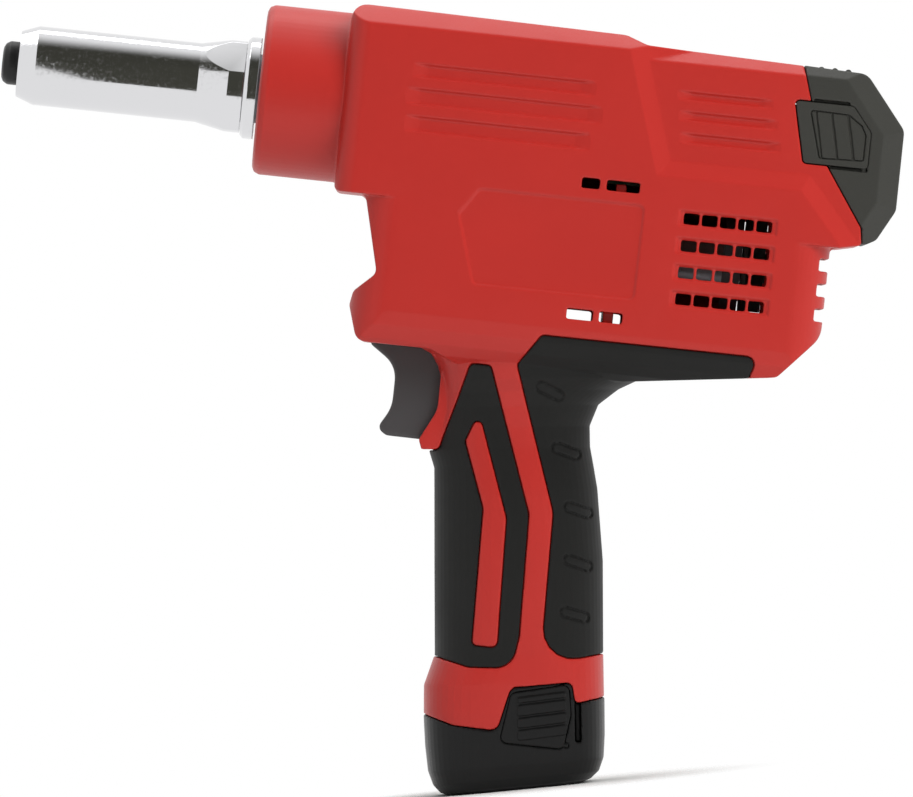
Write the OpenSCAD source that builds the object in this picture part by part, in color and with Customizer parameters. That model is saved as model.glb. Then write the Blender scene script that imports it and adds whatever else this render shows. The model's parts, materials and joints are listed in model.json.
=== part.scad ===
// Battery rivet tool: a motor turns a ball nut through two planetary stages and a gear pair,
// and the nut draws a hollow screw back, with the jaws that grip a blind rivet's mandrel.
// It is drawn in the tool's own frame, with the barrel along X at Z = 0, the nose towards -X
// and the front of the collar at X = 0. Each piece is then stood on the battery's base.

/* [Stance] */
// Angle between the barrel and the battery's base, in degrees
rake = 11.5; // [9:0.5:14]
// Angle of the handle's axis from square to the barrel, in degrees
handle_lean = 7; // [6:0.5:8]
// Length of the handle between the battery's cells and the body's underside
handle_spare = 65; // [60:0.5:76]
// Distance of the handle's axis behind the collar, at the body's underside
handle_x = 94.5; // [93:0.5:96]

/* [Body] */
// Half width of the body across its raised sides
body_half = 34; // [33:0.5:40]
// Depth of the step to the narrower rear upper part
side_step = 2.3; // [1.5:0.1:2.8]
// Height of the body's top above the barrel, at the front
body_top = 31.3; // [31:0.1:36]
// Distance of the lower body's rear end behind the collar's front
body_rear = 194.8; // [193:0.2:200]
// Space between the gear case and the wall of the body's underside
under_room = 12.8; // [11:0.2:15]
// Wall of the housing
wall = 3; // [2.6:0.1:3.4]
// Rounding of the body's long edges
edge_round = 10; // [6:0.5:12]
// Radius of the round front collar
collar_r = 28.4; // [28:0.1:30]
// Length of the collar
collar_len = 29; // [28:0.5:30]
// Thickness of the soft grip panels
grip_t = 1.6; // [1:0.1:1.8]
// Gap round each grip panel
grip_gap = 0.35; // [0.2:0.05:0.6]
// Height of a vent row
vent_h = 3.7; // [2.5:0.1:4.5]
// Depth of the finger ribs' grooves
groove_d = 1.2; // [0.6:0.1:1.6]
// Depth of the thumb grooves in the rear grips
thumb_d = 0.7; // [0.4:0.1:1]

/* [Nose] */
// Radius of the head sleeve
sleeve_r = 13.2; // [13:0.1:15]
// Length of the head sleeve with its flared end
sleeve_len = 75.3; // [74:0.5:85]
// Radius of the sleeve's flared end
flare_r = 15.3; // [14.6:0.1:16]
// Width across the four key flats of the flared end
flats_w = 27.2; // [26.8:0.1:28.6]
// Thickness of the lock ring
ring_t = 4.5; // [3.5:0.1:6]
// Radius of the nosepiece
nose_r = 7.25; // [7:0.05:8]
// Length of the nosepiece in front of the sleeve
nose_len = 5.5; // [4:0.5:8]
// Radius of the mandrel bore
mandrel_r = 1.65; // [1.2:0.05:1.8]

/* [Pulling gear] */
// Stroke of the pull rod
stroke = 20; // [10:0.5:20]
// Radius of the pull rod's screw
screw_r = 7.5; // [7:0.1:8]
// Radius of the jaw case
jaw_case_r = 9.25; // [9.1:0.05:9.5]

/* [Drive] */
// Teeth of the nut's gear
nut_teeth = 47; // [45:2:47]
// Teeth of the output gear
output_teeth = 37; // [35:2:37]
// Teeth of a sun pinion
sun_teeth = 12; // [12, 15]
// Teeth of a planet gear
planet_teeth = 21; // [15, 21]
// Tooth module of the planetary stages
planet_m = 0.6; // [0.55:0.01:0.62]
// Radius of the motor can
motor_r = 18.5; // [18:0.1:19]
// Length of the motor can
motor_len = 48; // [44:1:50]
// Radius of the motor shaft
shaft_r = 2; // [1.8:0.1:2.2]
// Number of fan blades
fan_blades = 9; // [7:1:13]

/* [Trigger] */
// Half width of the trigger
trigger_half = 11; // [9:0.5:12]
// Travel of the trigger
trigger_travel = 6; // [4:0.5:6]

/* [Collector] */
// Distance of the collector's rear end behind the collar's front
collector_rear = 215; // [213:0.5:222]
// Wall of the collector
collector_wall = 2.4; // [2:0.1:2.6]

/* [Battery] */
// Radius of a battery cell
cell_r = 9.2; // [9:0.05:9.3]
// Length of a battery cell
cell_len = 65; // [60:0.5:66]
// Wall of the battery's stem
stem_wall = 1.3; // [1:0.1:1.5]

/* [Clearances] */
// Radial clearance of running fits
run = 0.05; // [0.02:0.01:0.08]
// Gap between pieces that move past each other
clear = 0.35; // [0.3:0.05:0.45]
// Backlash of the gear teeth
backlash = 0.14; // [0.1:0.02:0.2]

/* [Hidden] */
$fn = 64;
big = 300;

// Colours
red_abs = "#C03A34";
soft_black = "#2E2E2C";
trigger_grey = "#4A4849";
collector_black = "#3A3A37";
battery_black = "#1F1F1F";
chrome = "#D8D8D8";
steel = "#8E9094";
cast_alloy = "#A9ABAD";
brass = "#B89A52";
copper = "#B87040";
board_green = "#2F5D3A";
cell_wrap = "#4C6E8C";
clear_lens = "#E8EEF2";

// Places along the barrel, in order from the nose
sleeve_back = -ring_t - 0.2;
sleeve_front = sleeve_back - sleeve_len;
nose_tip = sleeve_front - nose_len;
thread_r = 11.5;
boss_front = -20;
nose_tail = sleeve_front + 14;
jaw_front = nose_tail + 2;
cone_len = 15;
cone_mouth = 3.4;
cone_r = 7.2;
cone_slope = (cone_r - cone_mouth) / cone_len;
jaw_len = 12;
pusher_len = 9;
spring_len = 16;
rod_front = jaw_front + 1 + jaw_len + pusher_len + spring_len;
rod_neck_r = 6;
jaw_case_back = rod_front + 11;
rod_bore = 2.5;
rod_back = 100;
nut_front = 33;
journal_len = 9;
journal_r = 10;
nut_r = 14;
nut_back = 90;
bearing_r = 19;
bearing_w = 8;
case_r = 25;
chamber_front = 57;
chamber_back = 72;
cover_t = 5;
gear_front = 59;
gear_w = 10;
pin_x = 95;
pin_r = 1.5;
guide_r = 12;
guide_bore = 9;
guide_back = pin_x + stroke + 6;
tube_r = rod_bore - 0.08;
tube_front = 60;
tube_back = 180;
tube_boss_r = 6;

// Gear pair between the output shaft and the nut, which sets the motor's drop below the barrel
pair_m = 1;
motor_drop = (output_teeth + nut_teeth) * pair_m / 2;
ring_teeth = sun_teeth + 2 * planet_teeth;
planet_orbit = (sun_teeth + planet_teeth) * planet_m / 2;
addendum = 0.8;
dedendum = 1.1;
mesh_gap = 0.9;
case_skin = 2.2;
case_upper = (nut_teeth / 2 + addendum) * pair_m + mesh_gap;
case_lower = (output_teeth / 2 + addendum) * pair_m + mesh_gap;
ring_in = (ring_teeth / 2 + dedendum) * planet_m;
ring_out = ring_in + 1.6;
gearbox_r = max(ring_out, motor_r) + 1.6;
spigot = 3;
output_r = 4;
output_seat_r = 8;
planet_bore = 1.8;
second_x = 83.5;
first_x = 96.5;
planet_w = 7;
motor_x = 112;
motor_back = motor_x + motor_len;
motor_ribs = [motor_x + 10, motor_x + 28];
can_t = 1.4;
rib_t = 3.5;
rib_over = 4;
cap_t = 6;
motor_seat_r = 5.5;
motor_bearing_w = 4;
fan_x = motor_back + cap_t + 0.6;
fan_w = 8;
fan_r = 16.5;

// Depth of the body's flat underside, above the trigger
body_under = motor_drop + case_lower + case_skin + wall + under_room;

// Foot of the handle's axis, in the tool's frame
base_floor = 5;
cell_floor = base_floor + 4;
handle_len = cell_floor + cell_len + handle_spare;
handle_top = body_under + 4.2;
foot_x = handle_x + handle_len * sin(handle_lean);
foot_z = -handle_top - handle_len * cos(handle_lean);

// Battery stem, from the base upwards, along the handle
cell_top = cell_floor + cell_len;
contact_h = 10;
stem_top = cell_top + contact_h + 4;
cell_front = -7.6;
cell_rear = cell_front + 16;
cell_side = cell_r + 0.2;
blade_t = 0.8;
blade_step = 8;
handle_room = 17;

// Collector's lip, and the pivots of its tabs and of the battery's latches
lip_t = 1.8;
pivot_r = 0.8;
pivot_out = 1.5;
tab_back = 204;
tab_low = -5.9;
latch_front = in_tool(-6.68, 15.69);
latch_back = in_tool(14.2, 13.1);
latch_y = 23.5;
latch_in = 22.4;
latch_slit = [18.2, 17, 15];
latch_slit_size = [2.3, 20, 20];
tab_top = 14.1;
tab_depth = 5.2;
tab_t = 2.6;
tab_slit_h = 1.4;
tab_slit_d = 1.9;
ridge_places = [186, 190.5, 195];
ridge_r = 1;
ridge_half = 12;
chamfer_in = 5;
chamfer_angle = 36;

// Trigger, its side flanges and the switch behind it
trigger_front = 46.4;
trigger_back = 76.5;
trigger_in = 1;
trigger_low = -body_under - 30.4;
flange_t = 1.5;
flange_w = 1.6;
flange_low = -body_under - 29.8;
flange_h = 11;
plunger_r = 2.6;
plunger_z = -body_under - 14.8;
switch_x = trigger_back + trigger_travel + 2.7;
switch_size = [18, 18, 27];
switch_low = -body_under - 30.8;
shelf_t = 3;

// Lamp in the chin's slope
lamp_place = [42.4, -body_under + 19.7];
lamp_r = 4;
lamp_tilt = 43;
lock_r = 17;

// Outlines in the tool's side view: across, up, corner round, in the sense against the clock
body_outline = [
    [collar_len, body_top, 5], [collar_len, -31.5, 2], [39.6, -31.5, 3], [46, -body_under + 23, 3],
    [38.9, -body_under + 16.4, 3], [38, -body_under + 11.7, 3], [41.6, -body_under, 4], [66, -body_under, 0],
    [80, -body_under - 5.8, 0], [120, -body_under - 5.8, 0], [136.7, -body_under - 3.5, 2],
    below(181.4, -2.4, 3), below(body_rear, -17.2, 9), [body_rear, -33.6, 1.5],
    [204.7, -31.4, 1], [203.9, -25.6, 1], [190.8, -6.6, 0.5], [183, body_top - 16, 0],
    [179.7, body_top - 5.3, 0], [127.5, body_top - 4, 6], [120.3, body_top - 1.3, 6]
];
mouth_outline = [
    [173, body_top - 8.5, 0], [173, -9, 3], [188.4, -9, 2], [200.4, -26.4, 1],
    [big, -26.4, 0], [big, body_top - 8.5, 0]
];
collector_outline = [
    [180.1, body_top - 5.3, 0], [183.4, body_top - 16, 0], [191.2, -6.4, 0.5], [204.3, -25.4, 1],
    [205.1, -31.4, 1], [209.5, -29, 3], [collector_rear, -18.7, 4], [collector_rear, 8, 4],
    [collector_rear - 14, body_top - 6, 5]
];
collector_space = [
    [170, body_top - 8.5 - lip_t - clear, 0], [170, -9 + lip_t + clear, 0],
    [189.6, -9 + lip_t + clear, 2], [202.4, -26.4 + lip_t + clear, 1], [207.6, -26.4 + lip_t + clear, 3],
    [collector_rear - collector_wall, -17.5, 3], [collector_rear - collector_wall, 6.6, 3],
    [collector_rear - collector_wall - 14.5, body_top - 8.5 - lip_t - clear, 3]
];
tab_outline = [
    [178.3, tab_top, 1], [182.9, tab_low, 1], [tab_back, tab_low, 1], [tab_back, 6, 2],
    [197.5, tab_top, 2]
];
tab_field = [
    [183, 11.8, 1], [187.6, -4.4, 1], [202.8, -3.8, 1], [202.8, 5.1, 2], [201, 8.3, 1], [196.3, 11.5, 2]
];
tab_bars = [184.5, 189.6, 194.9, 200.4];
tab_bar_w = 4.3;
tab_bar_z = 3.5;
tab_bar_tilt = 12.5;
upper_slit = [
    [184, tab_top - 0.1, 0], [196.4, tab_top - 0.1, 0], [196.4, tab_top + tab_slit_h, 0.6],
    [184, tab_top + tab_slit_h, 0]
];
lower_slit = [
    [191.5, tab_low - tab_slit_h, 0.6], [204.3, tab_low - tab_slit_h, 0.6],
    [204.3, tab_low + 0.1, 0], [191.5, tab_low + 0.1, 0]
];
front_grip_outline = [
    below(80, 3.2, 2), below(76.7, 16.8, 9), below(74, 26.8, 6), below(72.4, 33, 2), below(50, 35.2, 0),
    above(-55.94, 48.54, 0), above(-27.28, 44.02, 3), above(-16.63, 40.49, 5), above(-2.19, 39.93, 7),
    above(0.54, 50.68, 0), below(104.8, 51.3, 8), below(87, 3.2, 2)
];
inlay_outline = [
    below(84.2, 20.8, 1.5), below(81.2, 29.3, 1.5), below(89.4, 50.8, 5), above(-15.29, 48.09, 1.5),
    above(-7.15, 47.09, 2), below(97.2, 53.3, 5), below(86, 23.3, 1)
];
rear_grip_outline = [
    below(102.5, -8.5, 2), below(95.3, 2.2, 2), below(112.4, 49.8, 8), above(6.99, 40.82, 10),
    above(54.82, 48.04, 0), below(160, 19.8, 0), below(169, 9.8, 0), below(174.8, -8.6, 3)
];
frame_outline = [
    below(64, -1, 0), below(70.7, 5.2, 5), below(70.8, 20, 10), below(65.6, 30.4, 1.5),
    below(67, 34, 1.5), below(78, 34.4, 0), below(78, -1, 0)
];
panel_d = 0.7;
panel_outline = [
    [77, -25.7, 2], [71, -34.7, 2], [78, -57.6, 2], [131.7, -57.3, 2], [132, -25.7, 2]
];
split_outline = [
    above(-65.57, -29.87, 0), above(43.61, -43.27, 0), above(53.18, 34.64, 0), above(18.51, 28.02, 1.5),
    above(17.57, 35.08, 2), above(-1.73, 33.83, 0), above(-3.22, 32.4, 3), above(-7.62, 19.54, 3),
    above(-21.98, 21.5, 8), above(-32.56, 25.62, 0), above(-58.32, 29.19, 0)
];
latch_outline = [
    above(-2.49, 31.7, 2), [latch_front.x, latch_front.y, 2], [latch_back.x, latch_back.y, 2],
    above(16.9, 24.4, 2), above(16.4, 34.2, 2)
];
// Bars of a latch: height of the upper and lower edge at the front
latch_bars = [[30.2, 28.6], [27.6, 24.3], [23.3, 20.3], [19.3, 16.2]];
trigger_outline = [
    below(trigger_front, -trigger_in, 0.4), below(trigger_front, 0.5, 1), below(55.6, 6.8, 9),
    below(55.6, 20.8, 12), [51.4, trigger_low + 2.4, 2], [54.6, trigger_low + 0.2, 2],
    [trigger_back, trigger_low, 1], below(trigger_back, -trigger_in, 1)
];

// Handle sections from the base up: height, reach to the front and rear, half width, squareness
handle_sections = [
    [0, 24.5, 20.5, 20, 3.6], [1, 26.8, 23.4, 22.4, 3.6], [3.5, 29, 26.2, 24.2, 3.5],
    [8, 30.6, 27.8, 25, 3.4], [16, 31.4, 28.3, 25.4, 3.2], [27, 31.8, 28.4, 25.4, 3.1],
    [35, 31.6, 28.4, 25.2, 3], [40, 29.6, 28.4, 24.8, 2.9], [45, 27.8, 28.4, 24.4, 2.8],
    [handle_len - 64, 27.4, 28.8, 23.8, 2.7],
    [handle_len - 40, 27, 27.4, 23, 2.6], [handle_len - 32, 26.9, 26.2, 22.4, 2.6],
    [handle_len - 26, 28.6, 25.2, 22, 2.6], [handle_len - 19, 28, 25.2, 22, 2.6],
    [handle_len - 12, 26, 28.2, 22.6, 2.7], [handle_len - 7, 25.4, 35, 24, 2.8],
    [handle_len - 3, 25, 44, 26.5, 3], [handle_len + 2, 25.8, 46, 27.5, 3.2],
    [handle_len + 6, 28, 46, 28, 3.2], [handle_len + 9, 33, 46, 28, 3.2]
];
base_shear_height = 40;
section_steps = 28;

// Thumb grooves of the rear grips: place of the round front end, and slope in degrees
thumb_places = [
    above(9.07, handle_len - 5.75, -21), above(14.05, handle_len - 25.9, -14),
    above(17.68, handle_len - 45.6, -14), above(17.23, handle_len - 63.2, -14),
    above(15.8, handle_len - 80.5, -11)
];
thumb_r = 2;
thumb_len = 6.5;
thumb_line = 0.8;

// Screw places in the side view, and the depth of their head seats
screw_seat = 14;
fastener_r = 1.5;
screw_head_r = 2.8;
screw_tail = 12;
post_r = 4;
screw_places = [
    below(52, -7.7), below(84, -10.2), below(137, -10.2), below(180, -14.2), below(110.5, 32.3),
    [160, body_top - 14.3], [103, body_top - 11.3], in_tool(-25, 36)
];

// Finger grooves of the sides: front end, rear end, height of the middle, width
front_grooves = [[51, 112, 11, 4.7], [49.5, 115, 2.4, 5.6], [50, 112, -6.7, 5.4]];
rear_grooves = [[139, 171, 12, 3], [140, 173, 5.3, 3.2], [141, 175, -2, 3.4]];
groove_ramp = 5;
groove_slope = 0.7;

// Vent and slot places in the side view: a slot is its front end and its length
vent_left = 145.3;
vent_cells = 5;
vent_pitch = 6.05;
vent_rib = 0.9;
vent_rows = [-28.6, -37.6, -46.5, -55.3];
vent_frame = 0.8;
slot_h = 3.5;
upper_slots = [[110.5, 6], [118.8, 11]];
upper_slot_z = -22;
lower_slots = [[110, 8.7], [120.8, 7.7]];
lower_slot_z = -body_under + 14.6;
notch_rows = [-39.1, -47.5, -55.8];
notch_h = 4.2;
notch_d = 3.2;

// Places in the side view: under the body, and up the handle from its foot
function flat(p) = [p.x, p.y];
function unit(v) = v / norm(v);
function below(x, depth, r = 0) = [x, -body_under - depth, r];
function above(x, s, r) = concat(in_tool(x, s), r);
function latch_bar_outline(bar) =
    [
        above(-0.6, bar[0], 0.6), above(-0.6, bar[1], 0.6),
        above(15.4, bar[1] + 1.7, 0.6), above(15.4, bar[0] + 1.7, 0.6)
    ];
function in_tool(x, s) = [
    foot_x + x * cos(handle_lean) - s * sin(handle_lean),
    foot_z + x * sin(handle_lean) + s * cos(handle_lean)
];

// Points of one rounded corner of an outline
function corner(a, b, c, steps = 5) =
    let (u = unit(flat(a) - flat(b)), v = unit(flat(c) - flat(b)), half = acos(u * v) / 2)
    b[2] <= 0 || half > 89 ? [flat(b)] :
    let (
        middle = flat(b) + unit(u + v) * b[2] / sin(half),
        start = flat(b) + u * b[2] / tan(half) - middle,
        end = flat(b) + v * b[2] / tan(half) - middle,
        from = atan2(start.y, start.x),
        sweep = atan2(start.x * end.y - start.y * end.x, start * end)
    )
    [for (i = [0:steps]) middle + b[2] * [cos(from + sweep * i / steps), sin(from + sweep * i / steps)]];

function rounded(points) =
    let (n = len(points))
    [for (i = [0:n - 1]) each corner(points[(i + n - 1) % n], points[i], points[(i + 1) % n])];

// An outline drawn in by a distance, with its corner rounds drawn in too
function inset(points, d) =
    let (n = len(points))
    [for (i = [0:n - 1])
        let (
            u = unit(flat(points[i]) - flat(points[(i + n - 1) % n])),
            v = unit(flat(points[(i + 1) % n]) - flat(points[i])),
            left = [-u.y, u.x] + [-v.y, v.x],
            turn = sign(u.x * v.y - u.y * v.x),
            p = flat(points[i]) + d * left / (1 + u * v)
        )
        [p.x, p.y, max(0, points[i][2] - d * turn)]];

// Points of a spur gear with straight flanks, with a tooth on the X axis
function gear_points(teeth, m, add, ded, slack) =
    let (pitch = teeth * m / 2, half = PI * m / 4 - slack / 2, slope = tan(20))
    [for (i = [0:teeth - 1], c = [[-ded, -1], [add, -1], [add, 1], [-ded, 1]])
        let (
            r = pitch + c[0] * m,
            w = half - c[0] * m * slope,
            angle = 360 * i / teeth + c[1] * w / pitch * 180 / PI
        )
        r * [cos(angle), sin(angle)]];

// Points of one side of the handle's section, from its rear round to its front
function section_points(section, side, d) =
    let (
        front = section[1] - d,
        rear = section[2] - d,
        half = section[3] - d,
        power = 2 / section[4],
        middle = (rear - front) / 2,
        reach = (rear + front) / 2,
        shear = tan(rake - handle_lean) * max(0, 1 - section[0] / base_shear_height)
    )
    [for (i = [0:section_steps])
        let (
            a = 180 * i / section_steps,
            x = middle + reach * sign(cos(a)) * pow(abs(cos(a)), power),
            y = side * half * pow(max(0, sin(a)), power)
        )
        [x, y, section[0] + shear * x]];

// Places the tool's frame on the base, and the handle's frame in the tool's
module stand() {
    rotate([0, rake, 0])
        translate([-foot_x, 0, -foot_z])
            children();
}
module in_handle() {
    translate([foot_x, 0, foot_z])
        rotate([0, -handle_lean, 0])
            children();
}
module both_sides() {
    children();
    mirror([0, 1, 0])
        children();
}

// Basic shapes: a plate in the side view, and round pieces along X
module side_plate(outline, y0, y1) {
    translate([0, y1, 0])
        rotate([90, 0, 0])
            linear_extrude(y1 - y0)
                polygon(rounded(outline));
}
module rod_x(x0, x1, r, z = 0) {
    translate([x0, 0, z])
        rotate([0, 90, 0])
            cylinder(r = r, h = x1 - x0);
}
module ring_x(x0, x1, r_out, r_in, z = 0) {
    translate([x0, 0, z])
        rotate([0, 90, 0])
            difference() {
                cylinder(r = r_out, h = x1 - x0);
                translate([0, 0, -1])
                    cylinder(r = r_in, h = x1 - x0 + 2);
            }
}
module turned(points) {
    rotate([0, 90, 0])
        rotate_extrude()
            polygon([for (p = points) [p.y, p.x]]);
}
module gear_x(x0, width, points, turn = 0) {
    translate([x0, 0, 0])
        rotate([0, 90, 0])
            rotate(turn)
                linear_extrude(width)
                    polygon(points);
}
module half_space(side) {
    translate([-big, side > 0 ? 0 : -big, -big])
        cube([2 * big, big, 2 * big]);
}

// A wound spring along X, as one tube with six sides
module coil_x(x0, length, r, wire, turns) {
    sides = 6;
    rings = turns * 8;
    climb = (length - 2 * wire) / rings;
    points = [for (i = [0:rings], k = [0:sides - 1])
        let (
            a = 45 * i,
            b = 360 * k / sides,
            out = r + wire * cos(b)
        )
        [x0 + wire + climb * i + wire * sin(b), out * cos(a), out * sin(a)]];
    sleeve = [for (i = [0:rings - 1], k = [0:sides - 1])
        let (n = (k + 1) % sides, p = i * sides, q = p + sides)
        each [[p + k, p + n, q + n], [p + k, q + n, q + k]]];
    start = [for (k = [1:sides - 2]) [0, k + 1, k]];
    last = rings * sides;
    end = [for (k = [1:sides - 2]) [last, last + k, last + k + 1]];
    echo(coil_gap = 8 * climb - 2 * wire);
    polyhedron(points, concat(sleeve, start, end));
}

// One side of the handle's outer form, drawn in by a distance
module handle_form(side, d = 0) {
    rows = len(handle_sections);
    ring = section_steps + 1;
    points = [for (s = handle_sections) each section_points(s, side, d)];
    skin = [for (j = [0:rows - 2], i = [0:section_steps])
        let (n = (i + 1) % ring, p = j * ring, q = p + ring)
        each [[p + i, q + n, p + n], [p + i, q + i, q + n]]];
    top = (rows - 1) * ring;
    caps = [for (i = [1:section_steps - 1]) each [[0, i, i + 1], [top, top + i + 1, top + i]]];
    faces = concat(skin, caps);
    in_handle()
        polyhedron(points, side > 0 ? faces : [for (f = faces) [f[0], f[2], f[1]]]);
}

// Cuts both corners of an upright edge of the body round
module round_ends(x, into, half, r, z0, z1) {
    both_sides()
        difference() {
            translate([into > 0 ? x - 30 : x - r, half - r, z0])
                cube([30 + r, r + 30, z1 - z0]);
            translate([x + into * r, half - r, z0 - 1])
                cylinder(r = r, h = z1 - z0 + 2);
        }
}

// The body's section across X
module body_section(half, top, r) {
    low = -body_under - 5;
    across = half - 0.9 * r;
    down = top - 0.6 * r;
    outline = [
        [half, down, 1], [across, top, 0.7 * r], [-across, top, 0.7 * r], [-half, down, 1],
        [-half, low, 16], [half, low, 16]
    ];
    translate([-20, 0, 0])
        rotate([90, 0, 90])
            linear_extrude(big)
                polygon(rounded(outline));
}

// Half space above a sloped plane that starts on a line of the raised side
module beyond_line(p, q, half) {
    run_out = 5.5;
    along = atan2(q.y - p.y, q.x - p.x);
    translate([p.x, -half, p.y])
        rotate([0, -along, 0])
            rotate([-atan2(side_step, run_out), 0, 0])
                translate([-big, -big, 0])
                    cube([2 * big, big, big]);
}

// The body's outer form, drawn in by a distance
module body_form(d = 0) {
    half = body_half - d;
    rear_half = half - side_step;
    difference() {
        intersection() {
            side_plate(inset(body_outline, d), -half, half);
            body_section(half, body_top - d, edge_round - d);
        }
        round_ends(collar_len + d, 1, half, 7 - d, -31.5 + d, big);
        round_ends(38 + d, 1, half, 13 - d, -body_under - 20, -31.5 + d);
        round_ends(body_rear - d, -1, half, 12 - d, -body_under - 20, -33 + d);
        both_sides()
            difference() {
                intersection() {
                    beyond_line([120.3, body_top - 1.3], [131.7, -5.4], half);
                    union() {
                        beyond_line([138, -15.4], [183, -15.4], half);
                        beyond_line([183, -15.4], [191.7, -25.4], half);
                    }
                }
                body_section(rear_half, body_top - 3.8 - d, edge_round - 2 - d);
            }
    }
}
module outer_form(side, d = 0) {
    intersection() {
        body_form(d);
        half_space(side);
    }
    handle_form(side, d);
}
module collar_form() {
    turned([[0.8, 0], [0.8, collar_r - 2.5], [1.5, collar_r - 0.8], [3.2, collar_r],
        [collar_len + 4, collar_r], [collar_len + 4, 0]]);
}

// Outline of the three cells with a wall round them, along the handle
module stem_form(grow, s0, s1) {
    in_handle()
        translate([0, 0, s0])
            linear_extrude(s1 - s0)
                hull() {
                    translate([cell_front, 0])
                        circle(r = cell_r + grow, $fn = 32);
                    for (side = [-1, 1])
                        translate([cell_rear, side * cell_side])
                            circle(r = cell_r + grow, $fn = 32);
                }
}

// Space inside the housing
module housing_space() {
    room = handle_room;
    difference() {
        body_form(wall);
        side_plate(inset(mouth_outline, -2.5), -big, big);
        for (x = motor_ribs)
            difference() {
                translate([x, -big, -big])
                    cube([rib_t, 2 * big, big - motor_drop + motor_r + rib_over]);
                rod_x(x - 1, x + rib_t + 1, motor_r + run, -motor_drop);
            }
    }
    side_plate(mouth_outline, -body_half + side_step + wall, body_half - side_step - wall);
    rod_x(-1, collar_len + 6, case_r + run);
    in_handle()
        translate([0, 0, stem_top + 2])
            linear_extrude(handle_len - stem_top + 8)
                polygon(rounded([[22, room, 12], [-22, room, 12], [-22, -room, 12], [22, -room, 12]]));
    stem_form(stem_wall + clear + 0.1, -20, stem_top + 3);
}
module trigger_slot() {
    front = trigger_front - clear;
    back = trigger_back + trigger_travel + 1.5;
    half = trigger_half + clear;
    flange_front = trigger_back - flange_t - clear;
    translate([front, -half, trigger_low - clear])
        cube([back - front, 2 * half, trigger_in - body_under - trigger_low + 2 * clear]);
    translate([flange_front, -half - flange_w, flange_low - clear])
        cube([back - flange_front, 2 * (half + flange_w), flange_h + 2 * clear]);
}

// Shelves inside the handle that hold the switch by its corners
module switch_shelves() {
    for (z = [switch_low + 1, switch_low + 8])
        difference() {
            translate([switch_x - 2, -body_half, z])
                cube([switch_size.x + 4, 2 * body_half, shelf_t]);
            translate([switch_x, -switch_size.y / 2, z - 1])
                cube([switch_size.x, switch_size.y, shelf_t + 2]);
            translate([switch_x - 3, -switch_size.y / 2 + 3, z - 1])
                cube([switch_size.x + 6, switch_size.y - 6, shelf_t + 2]);
        }
}
module screw_posts() {
    for (p = screw_places)
        translate([p.x, 0, p.y])
            rotate([90, 0, 0])
                cylinder(r = post_r, h = 2 * body_half, center = true);
}
module screw_holes() {
    for (p = screw_places)
        translate([p.x, 0, p.y])
            rotate([-90, 0, 0]) {
                translate([0, 0, -screw_tail - 1])
                    cylinder(r = fastener_r + run, h = screw_tail + screw_seat + 2);
                translate([0, 0, screw_seat])
                    cylinder(r = screw_head_r + 0.3, h = big);
            }
}

// Shallow features of the sides
module finger_groove(x0, x1, z, h, depth, half) {
    both_sides()
        intersection() {
            translate([0, 0, z - h / 2])
                linear_extrude(h)
                    polygon([
                        [x0 - groove_ramp, -half - depth], [x1 + groove_ramp, -half - depth],
                        [x1 - groove_ramp, -half + depth], [x0 + groove_ramp, -half + depth]
                    ]);
            translate([x0, -half, z])
                rotate([90, 0, 90])
                    linear_extrude(x1 - x0)
                        polygon([
                            [-depth, -h / 2 - groove_slope], [depth, -h / 2 + groove_slope],
                            [depth, h / 2 - groove_slope], [-depth, h / 2 + groove_slope]
                        ]);
        }
}
module side_grooves() {
    for (g = front_grooves)
        finger_groove(g[0], g[1], g[2], g[3], groove_d, body_half);
    for (g = rear_grooves)
        finger_groove(g[0], g[1], g[2], g[3], groove_d, body_half - side_step);
}
module side_vents() {
    both_sides() {
        for (z = vent_rows) {
            translate([vent_left - 2 * vent_frame, -body_half - 1, z - vent_h / 2 - vent_frame])
                cube([vent_cells * vent_pitch + 3 * vent_frame, 1 + vent_frame, vent_h + 2 * vent_frame]);
            for (i = [0:vent_cells - 1])
                translate([vent_left + i * vent_pitch, -body_half - 1, z - vent_h / 2])
                    cube([vent_pitch - vent_rib, wall + 3, vent_h]);
        }
        for (s = lower_slots)
            translate([s.x, -body_half - 1, lower_slot_z])
                cube([s.y, wall + 3, slot_h]);
    }
    for (z = notch_rows)
        translate([body_rear - notch_d, -big, z - notch_h / 2])
            cube([20, 2 * big, notch_h]);
}
module left_slots() {
    for (s = upper_slots)
        translate([s.x, -body_half - 1, upper_slot_z])
            cube([s.y, wall + 3, slot_h]);
}
module grip_shape() {
    intersection() {
        difference() {
            outer_form(1);
            outer_form(1, grip_t);
        }
        children();
    }
}
module thumb_pill(r) {
    translate([0, 0, -r])
        cube([thumb_len, big, 2 * r]);
    for (x = [0, thumb_len])
        translate([x, 0, 0])
            rotate([-90, 0, 0])
                cylinder(r = r, h = big);
}
module thumb_grooves() {
    for (p = thumb_places)
        translate([p.x, 0, p.y])
            rotate([0, -p.z, 0])
                difference() {
                    thumb_pill(thumb_r);
                    thumb_pill(thumb_r - thumb_line);
                }
}
module lamp_hole(r, out) {
    translate([lamp_place.x, 0, lamp_place.y])
        rotate([0, -lamp_tilt, 0])
            translate([0, 0, -5])
                cylinder(r = r, h = 5 + out);
}

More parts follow.
